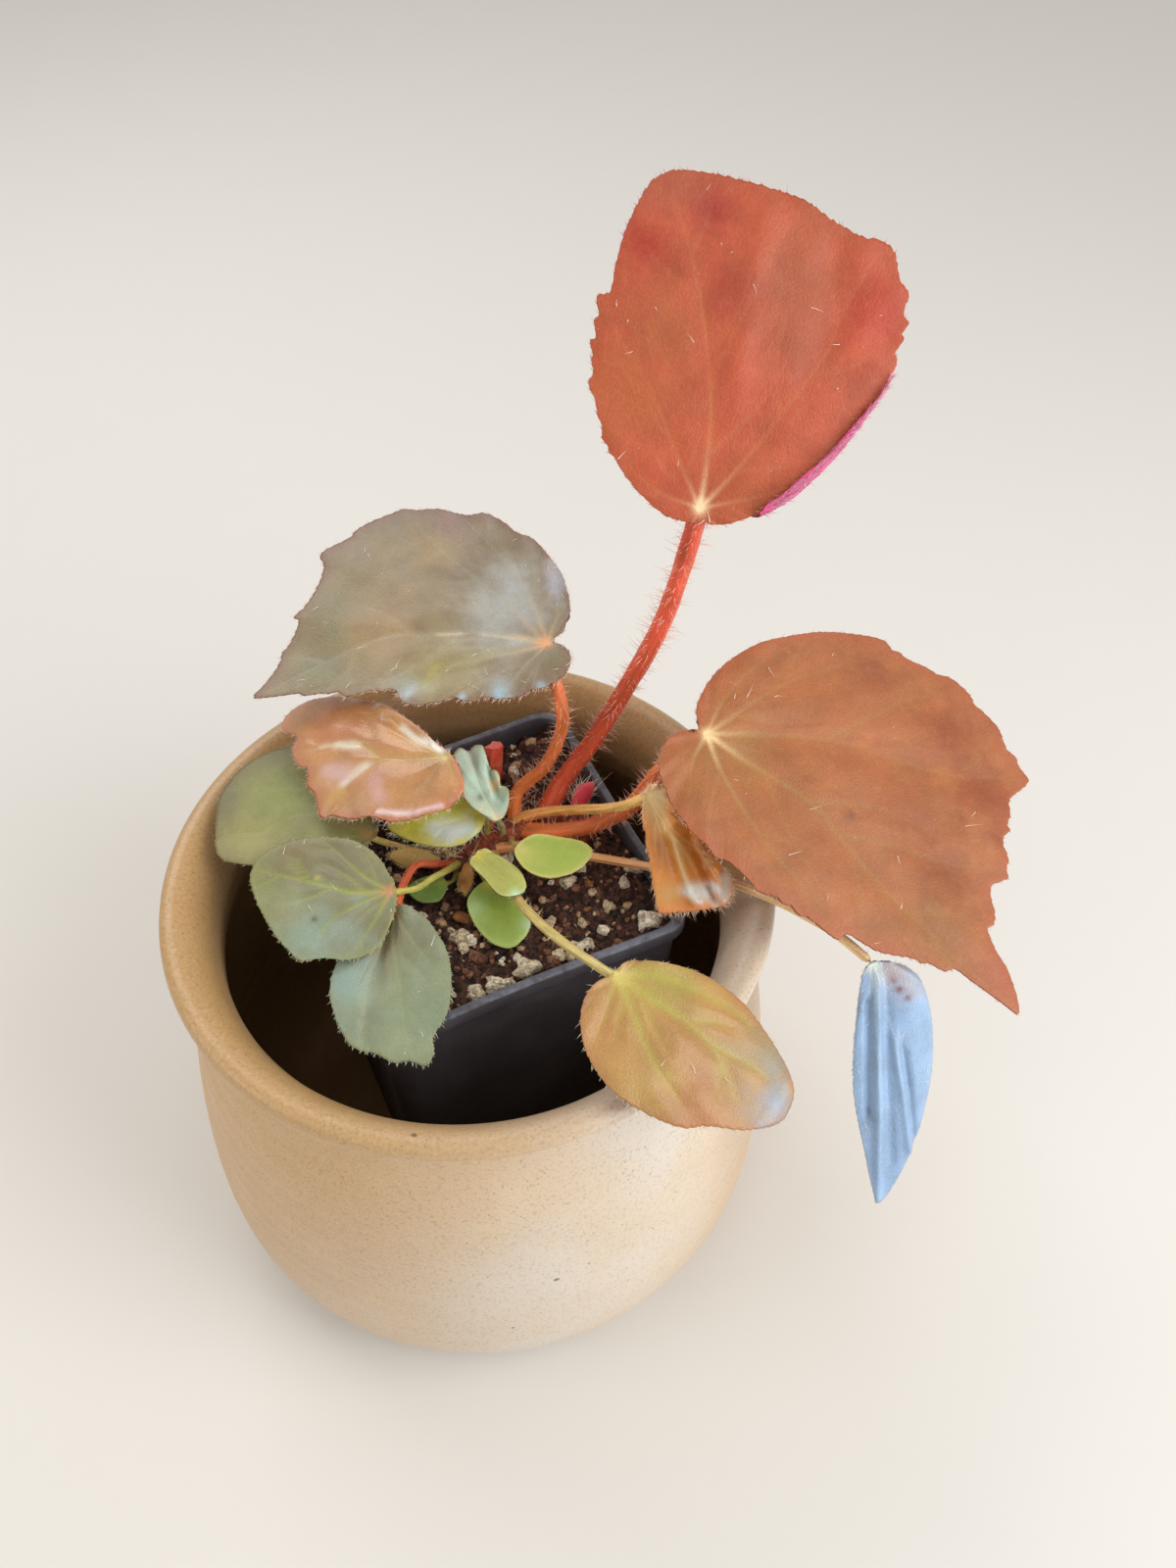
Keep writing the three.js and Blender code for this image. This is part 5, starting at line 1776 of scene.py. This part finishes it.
        Fringe(5, 1.7, 0xFCCFA8), 109,
        veins("0.8 0.9 3: 0 0, 4.7 0.8, 16 5.1, 24 6.3, 30 6; 0.7 0.8 2: 0 0, 10.4 4.1, 16 7.8, 24 11; 0.6 0.7 0: 0 0, "
        "12 0, 25 -5"),
        # The blue-white streaks near the tip are painted highlights, the brown streaks along the two folds are painted
        # shade, and the pale streak on the ridge between them is a painted highlight.
        patches("1 1.6 4 E0CF9C 0.85, 5.8 0.5 10 2.5 2.2 D8B97A 0.6, 12.5 0.8 17 1 2.4 B76B20 0.75, "
        "12 6 22 7.4 1.8 B7641B 0.8, 12 3.6 24 3.6 0.9 E0C087 0.8, 14 9 20 10 1 915828 0.7, 24.3 -1.8 3 E4BB76 0.7, "
        "24.4 3.6 26 6.8 1.9 F1F9F9 0.95, 24.8 9 26 10.4 1.3 F1F7F9 0.9, 23.6 12.4 28 11.5 1.5 DEDACE 0.85, "
        "24.8 7.9 28 8.4 0.5 8F684C 0.7"),
        creases=rows("9 3.4 27 4 1.5 1.5, 10 7 24 8.6 -1.2 1.5, 12 0.8 26 -1 -0.8 2.2, 21 8.5 29 9 -0.8 0.6, "
        "22 11.5 29 10.5 0.8 1"),
    ), Leaf(
        "slate", Fineness.MEDIUM, (95, -27, 132), (0.1, -0.49, -0.87), (0.1, -0.86, 0.5), 2, -3,
        rows("68 1, 52 11, 35 15, 18 15, 5 11, 0 4, 0 -1, 14 -4, 33 -5, 53 -2"),
        # The blue of this leaf's body, margin and veins is a painted reflection of the sky.
        LeafLook(0x8EAED5, 0x9EB6D3, 0xB2D1EA, 0xD5E1DB, 0xA07071, "leaf_slate", 0.5, 0.4, 0.3, 0.5, 0.8, 1.4),
        Stem(rows("1 11 124, 14 10 127.5, 30 5.6 129, 45 1.5 130.5, 63 -4.2 132.3, 76.4 -12 133.7, "
        "87.4 -20.4 134"), 1.15, 0xFCAB6C, 0xFCD89F, 0.5, 1.2, "stem_tan"),
        Fringe(1.8, 0.9, 0xD3E1EA, 20), 110,
        veins("0.6 0.9 0: 0 1, 12 0.5, 22 1, 32 1.6, 47 1.6, 67 0.8; 0.5 0.7 0: 0 2, 23 5.4, 33 7.2, 43 9.2, 52 10.2; "
        "0.5 0.7 0: 0 0, 21 -1.9, 32 -2.6"),
        patches("2 4 4 AFA09C 0.8, 6 8 4 B4AEB6 0.7, 7.3 6.3 1.1 74352D 0.9, 10 8.4 0.7 703D3A 0.8, "
        "5 5 0.8 8C5144 0.7, 55 5 10 83A0C9 0.6"),
        creases=rows("4 1 66 1 1 1.2, 10 -1 40 -1.5 -1 1, 20 5 54 9.6 0.9 1.2, 24 7.4 54 11 -0.9 1, "
        "10 3 55 4.6 -0.7 1.4"),
    ), Leaf(
        "lime", Fineness.SMALL, (2, 16.5, 133), (-0.98, -0.11, -0.14), (-0.1, -0.3, 0.95), 1.5, -1,
        rows("25 -1, 18 5, 8 8, 1 5, -1 0, 3 -7, 10 -8, 18 -4"),
        LeafLook(0xD6DD48, 0xF0EF79, 0xF2FA79, 0xEAED6C, 0xDECA5F, "leaf_green", 0.5, 0.22, 0.6, 0.5, 0.8, 4),
        Stem(rows("3 13.5 125, 3 15 129"), 0.9, 0xB09646, 0xACA846, 0.5, 1, "stem_green"),
        Fringe(2.4, 1.5, 0xFBFBD4), 111,
        veins("0.5 0.6 4: 0 0, 7.6 1.7, 16 1.8, 24 -0.7"),
        # These patches are all painted highlights.
        patches("4.1 4.6 10.8 3.4 2.2 DCFFFF 1, 8.4 6 1.3 DCFFFF 0.8, 12.6 2.6 1.3 DCFFFF 0.7, "
        "7.5 3.6 3.4 EDFBFB 0.85, 12 2 2.4 EAFBFB 0.6"),
    ), Leaf(
        "young", Fineness.SMALL, (6, 12, 136), (-0.49, 0.75, 0.44), (0, -0.5, 0.86), 0, 1,
        rows("19.2 2.1, 17.6 2, 16.1 2.2, 14.1 2.7, 11.6 3.5, 9.3 4.5, 7.4 4.6, 5.5 4.2, 3.7 3.5, 1.5 2.2, 0.3 1.8, "
        "-0.7 0.6, -0.8 -1.3, 0.2 -2.9, 2 -4.6, 3.8 -5.5, 5.8 -5.6, 6.8 -4.6, 8.2 -5.3, 9.7 -5.6, 11 -5, 11.1 -4.2, "
        "12.5 -4.6, 14.3 -5.6, 16 -6, 17.8 -5.4, 18.8 -3.8, 18.4 -1.8, 20.1 -0.3, 20.1 1.1"),
        LeafLook(0xCAECDC, 0xC7D1A0, 0xE5FBE6, 0xF6ECC1, 0xCAD3A7, "leaf_blue_green", 0.5, 0.3, 0.4, 0.5, 0.8, 1),
        Stem(rows("7 14 126, 7 13.5 131"), 0.8, 0xB09650, 0xAAB482, 0.4, 1, "stem_green"),
        Fringe(0.4, 0.6, 0xECCEBA, 14), 112,
        veins("0.45 0.5 4: 0 0, 8 0, 17 -1"),
        patches("6.4 1.2 0.9 5C6450 0.85, 7 -3.2 8.5 -3.4 0.6 F0C49A 0.8, 14 0 17 -2 1.4 D2E0D8 0.6, "
        "11 -3.8 6 -3.6 0.5 90A48C 0.7, 6.4 0.1 0.8 7A8273 0.7, 8 -4 1.2 FBECB4 0.6, 4 2 2 EAF3CD 0.5"),
        creases=rows("11.5 -3.9 5 -2.6 -1 0.6, 18.4 -1.6 12 -0.8 -0.8 0.8, 16 -4 14 -3 0.7 1.4, "
        "4 -3 11 -3.5 -0.9 0.8"),
    ), Leaf(
        "oval", Fineness.SMALL, (13, 1, 137), (1, -0.04, -0.01), (0, -0.3, 0.95), 1, 1,
        rows("17 1, 15 3, 8 4, 2 4, -2 0, 1 -5, 7 -7, 14 -4"),
        LeafLook(0xA3B854, 0xD4CA7B, 0xBDCA6A, 0xC8C671, 0xB6B671, "leaf_green", 0.3, 0.42, 0.15, 0.15, 0.1, 1.1),
        Stem(rows("9 14 126, 10 8 131, 12 3.5 135"), 0.7, 0xBE964E, 0xB8BE64, 0.3, 0.8, "stem_green"),
        Fringe(0.3, 0.4), 113,
        veins("0.5 0.5 4: 0 0, 8.7 -0.5, 15 -0.2"),
        patches("9 -1 4 96B448 0.5, 1 -2 3 C1C66A 0.5"),
    ), Leaf(
        "mint", Fineness.SMALL, (2, 1, 135), (0.78, -0.59, -0.1), (0.05, -0.13, 0.98), 0, 0,
        rows("15 0, 11 3, 5 3, 0 2, 0 -3, 5 -4, 12 -5"),
        LeafLook(0xB6BE66, 0xCDD185, 0xCDCF7A, 0xDFD364, 0xB6B464, "leaf_green", 0.5, 0.3, 0.35, 0.2, 0.8, 1),
        Stem(rows("2 10.5 124.5, 1 5 130"), 0.75, 0xBEAA50, 0xBEC65A, 0.3, 0.8, "stem_green"),
        Fringe(0.4, 0.4), 114,
        veins("0.4 0.5 3: 0 0, 4.5 -0.8, 11.7 -1.4"),
        patches("14.4 -2.2 1.6 C8F5CD 0.9"),
        creases=rows("0 -0.5 14 -1 -0.5 1"),
    ), Leaf(
        "low", Fineness.SMALL, (4, -2, 127), (0.44, -0.89, -0.13), (0, -0.15, 0.99), 1, 0,
        rows("18 -1, 15 5, 10 6, 3 4, -1 0, 2 -6, 8 -7, 15 -5"),
        LeafLook(0x9EBD57, 0xC0D985, 0xB9D267, 0xD1D664, 0xB9B964, "leaf_green", 0.3, 0.34, 0.3, 0.2, 0.3, 1.2),
        Stem(rows("1 9 123.5, 2.5 3 125"), 0.75, 0xB4A04C, 0xA0B454, 0.3, 0.8, "stem_green"),
        Fringe(0.3, 0.4), 115,
        veins("0.5 0.5 4: 0 0, 5.1 -0.1, 15 -0.5"),
        patches("14 5 2 C5E6BC 0.7, 5 -5 2.4 B9DBA6 0.6, 8 0 4 A3C24A 0.5"),
    ), Leaf(
        "shy", Fineness.SMALL, (-7, -0.4, 125), (-1, -0.06, 0), (0, -0.1, 1), 0, 0,
        rows("9 1, 6 5, 1 5, -1 0, 1 -2, 5 -2"),
        LeafLook(0x709646, 0x789654, 0x8CAA56, 0x96AA50, 0x829650, "leaf_green", 0.5, 0.42, 0.15, 0.15, 0.2, 1),
        Stem(rows("-4.5 6.5 122, -5 2.4 122.8"), 0.6, 0x96823C, 0x8CA046, 0, 0.8, "stem_green"),
        Fringe(0.2, 0.4), 116,
        veins("0.4 0.5 3: 0 0, 4 0.8, 8 1.4"),
    )]


def bracts() -> list[Leaf]:
    """Lists the papery scales at the crown."""
    return [Leaf(
        "bract_olive", Fineness.SMALL, (-9.4, 7, 125.6), (-0.93, -0.17, 0.33), (0.2, -0.5, 0.84), 0, -0.6,
        rows("12 0, 8 2.2, 3 1.8, -1 0, 3 -1.8, 8 -2.2"),
        LeafLook(0xB89C5C, 0xCCB070, 0x967C48, 0xAC8C50, 0x8C6E46, "bract", 0.5, 0.6, 0.05, 0.3, 0.8, 1),
        None,
        Fringe(7, 1.2, 0xDCC482), 201,
    ), Leaf(
        "bract_amber", Fineness.SMALL, (-1.6, 5.1, 125.3), (0, -0.98, -0.12), (0.1, -0.12, 0.99), 0, -0.4,
        rows("8.5 0, 5 1.7, 1.5 1.4, -1 0, 1.5 -1.4, 5 -1.7"),
        LeafLook(0xCE9A50, 0xDCB060, 0xB07838, 0xBC8840, 0xA06E3C, "bract", 0.5, 0.5, 0.1, 0.3, 0.8, 0.8),
        None,
        Fringe(5, 1, 0xE2C882), 202,
        blots_and_painted_light=patches("5 -0.6 1.2 82401E 0.7"),
    ), Leaf(
        "bract_pink", Fineness.SMALL, (24.6, 23.8, 126), (0.62, 0.68, 0.4), (0.4, -0.7, 0.6), 0, -0.8,
        rows("9 0, 6 2.6, 1.5 1.8, -1 0, 1.5 -1.8, 6 -2.6"),
        LeafLook(0xFF566A, 0xFF8296, 0xF04A58, 0xF05A4A, 0xD25050, "bract_pink", 0.5, 0.45, 0.15, 0.3, 0.8, 1),
        None,
        Fringe(2.5, 4.4, 0xF8E4CC), 203,
    )]


@dataclass
class Plant:
    """The whole plant: rhizome, bud, leaves, bracts and the tangle of hairs at the crown."""

    bud: Stem = field(default_factory=lambda: Stem(
        rows("3 37.5 117, 3 38.5 123, 3.4 41 131.5"), 2.6, 0xFF4630, 0xFF8A6A, 1.0, 0.9, "bud_red"
    ))
    bud_steps: int = 60

    def build(self) -> list[Piece]:
        """Builds and dresses every part of the plant."""
        stem_finish = Flesh("stem_skin", 0.5, 0.05, 0.2, 0.4, 0.15).material()
        pieces = [Rhizome().build()]
        for leaf in [*leaves(), *bracts()]:
            pieces += leaf.build(stem_finish)
        coat = HairCoat("crown_hairs")
        self.bud.grow_hairs(coat, ink(0xF07864), 303)
        self.tangle(coat)
        return [*pieces, self.chunk(), coat.build("stem_red")]

    def chunk(self) -> Piece:
        """Builds the bud, an angular chunk with a flat top."""
        deselect()
        bpy.ops.mesh.primitive_cylinder_add(vertices=7, radius=1, depth=1, location=(0, 0, 0.5))
        piece = bpy.context.object
        mesh = piece.data
        piece.name = mesh.name = "red_bud"
        bpy.ops.object.transform_apply(location=True)
        edit(*cuts((0.3, 0.55, 0.75, 0.9), (0.2, 0.1, 1)))
        corners = corners_of(mesh)
        x, y, along = corners.T
        width = self.bud.radius * (0.85 + 0.2 * np.sin(math.pi * along) + 0.28 * unevenness(corners * 3, 3, 41, 2))
        move_corners(mesh, self.bud.spine(self.bud_steps).point(along, x * width, y * width))
        apply_modifier(piece, "BEVEL", width=0.22 * MM, segments=1)
        share = limited(0.5 + 0.9 * unevenness(corners_of(mesh) / MM, 4, 43, 2))[:, None]
        store(mesh, "tint", blend(ink(self.bud.foot), self.bud.top, share))
        return finish_piece(piece, [Flesh("bud_skin", 0.35, 0.5, 0.3, 0.6, 0.1).material()], "bud_red", "bud")

    def tangle(self, coat: HairCoat) -> None:
        """Adds the long pale hairs that stand between the young stems to a coat."""
        random = np.random.default_rng(301)
        for centre, count, spread in (((13, 25, 125), 46, 5.5), ((8, 15, 127), 24, 3), ((-6, 8, 125), 26, 3)):
            for _ in range(count):
                root = np.array(centre) + random.normal(0, 1, 3) * (spread, spread * 0.6, 0.8)
                aim = np.array([random.normal(0, 0.7), random.normal(0, 0.7), random.uniform(0.4, 1.2)])
                coat.add(root, aim, random.uniform(3, 7.5), 0.22, random.normal(0, 0.35, 3), paint(0xFCECD0))


# The studio


def stand(name: str, data: bpy.types.ID, axes: Sequence[Array], place: Point) -> Piece:
    """Stands a camera or a light in the scene.

    Args:
        name: its name.
        data: what it is.
        axes: its own right, up and backward directions.
        place: where it stands, in millimetres.

    Returns:
        The new object.
    """
    thing = bpy.data.objects.new(name, data)
    turn = np.eye(4)
    turn[:3] = np.column_stack([*axes, np.array(place) * MM])
    thing.matrix_world = Matrix(turn.tolist())
    bpy.context.collection.objects.link(thing)
    return thing


@dataclass(frozen=True)
class Studio:
    """The pale floor, the soft lights and the camera, set as the photo was taken."""

    eye: Point = (28.6, -191.5, 379.7)
    pitch: float = math.radians(48.55)
    roll: float = math.radians(0.86)
    focal_px: float = 1300
    frame_width_px: float = 1200
    sensor_mm: float = 36
    air: Colour = (1.0, 0.97, 0.92)
    air_strength: float = 0.66

    def build(self) -> None:
        """Builds the studio."""
        self.camera()
        self.floor()
        self.light("key", (520, -200, 700), 420, 2.2, (1.0, 0.96, 0.89), (0, 0, 110))
        self.light("window", (800, -420, 220), 620, 6.0, (0.84, 0.92, 1.0), (20, 0, 90))
        self.light("back", (-420, 520, 800), 560, 2.6, (0.97, 0.98, 1.0), (0, 0, 120))
        self.light("left", (-640, -240, 380), 420, 0.9, (1.0, 0.95, 0.88), (0, 0, 110))
        world = bpy.data.worlds.new("studio_air")
        bpy.context.scene.world = world
        world.use_nodes = True
        background = world.node_tree.nodes["Background"]
        background.inputs["Color"].default_value = (*self.air, 1)
        background.inputs["Strength"].default_value = self.air_strength
        bpy.context.scene.view_settings.view_transform = "Standard"

    def camera(self) -> None:
        """Places the camera with its measured turn."""
        forward = np.array([0, math.cos(self.pitch), -math.sin(self.pitch)])
        up = np.array([0, math.sin(self.pitch), math.cos(self.pitch)])
        right = np.array([1.0, 0, 0])
        cos, sin = math.cos(self.roll), math.sin(self.roll)
        data = bpy.data.cameras.new("camera")
        data.sensor_fit = "HORIZONTAL"
        data.sensor_width = self.sensor_mm
        data.lens = self.sensor_mm * self.focal_px / self.frame_width_px
        data.clip_start = 0.01
        axes = (cos * right + sin * up, -sin * right + cos * up, -forward)
        bpy.context.scene.camera = stand("camera", data, axes, self.eye)

    def floor(self) -> None:
        """Lays a pale matt floor."""
        deselect()
        bpy.ops.mesh.primitive_plane_add(size=6, location=(0, 0, -0.0002))
        floor = bpy.context.object
        floor.name = "floor"
        surface = Surface("pale_floor", 0.8)
        surface.colour = (0.74, 0.72, 0.69)
        surface.lay(surface.noise(40, 3) * 0.3, (0.7, 0.68, 0.64))
        surface.link("Base Color", surface.colour)
        floor.data.materials.append(surface.material)

    def light(self, name: str, place: Point, size: float, power: float, colour: Colour, aim: Point) -> None:
        """Hangs one soft square light.

        Args:
            name: name of the light.
            place: where it hangs, in millimetres.
            size: its side, in millimetres.
            power: its power in watts.
            colour: its colour.
            aim: the point that it faces, in millimetres.
        """
        data = bpy.data.lights.new(name, "AREA")
        data.shape = "SQUARE"
        data.size = size * MM
        data.energy = power
        data.color = colour
        away = unit(np.subtract(place, aim).astype(float))
        side = unit(np.cross((0, 0, 1.0), away))
        stand(name, data, (side, np.cross(away, side), away), place)


def main() -> None:
    """Builds the pots, the potting bed, the plant and the studio, and notes the sizes."""
    logging.basicConfig(level=logging.INFO, format="%(message)s")
    CoverPot().build()
    nursery_pot = NurseryPot()
    nursery_pot.build()
    PottingBed(nursery_pot).build()
    Plant().build()
    Studio().build()


if __name__ == "__main__":
    main()
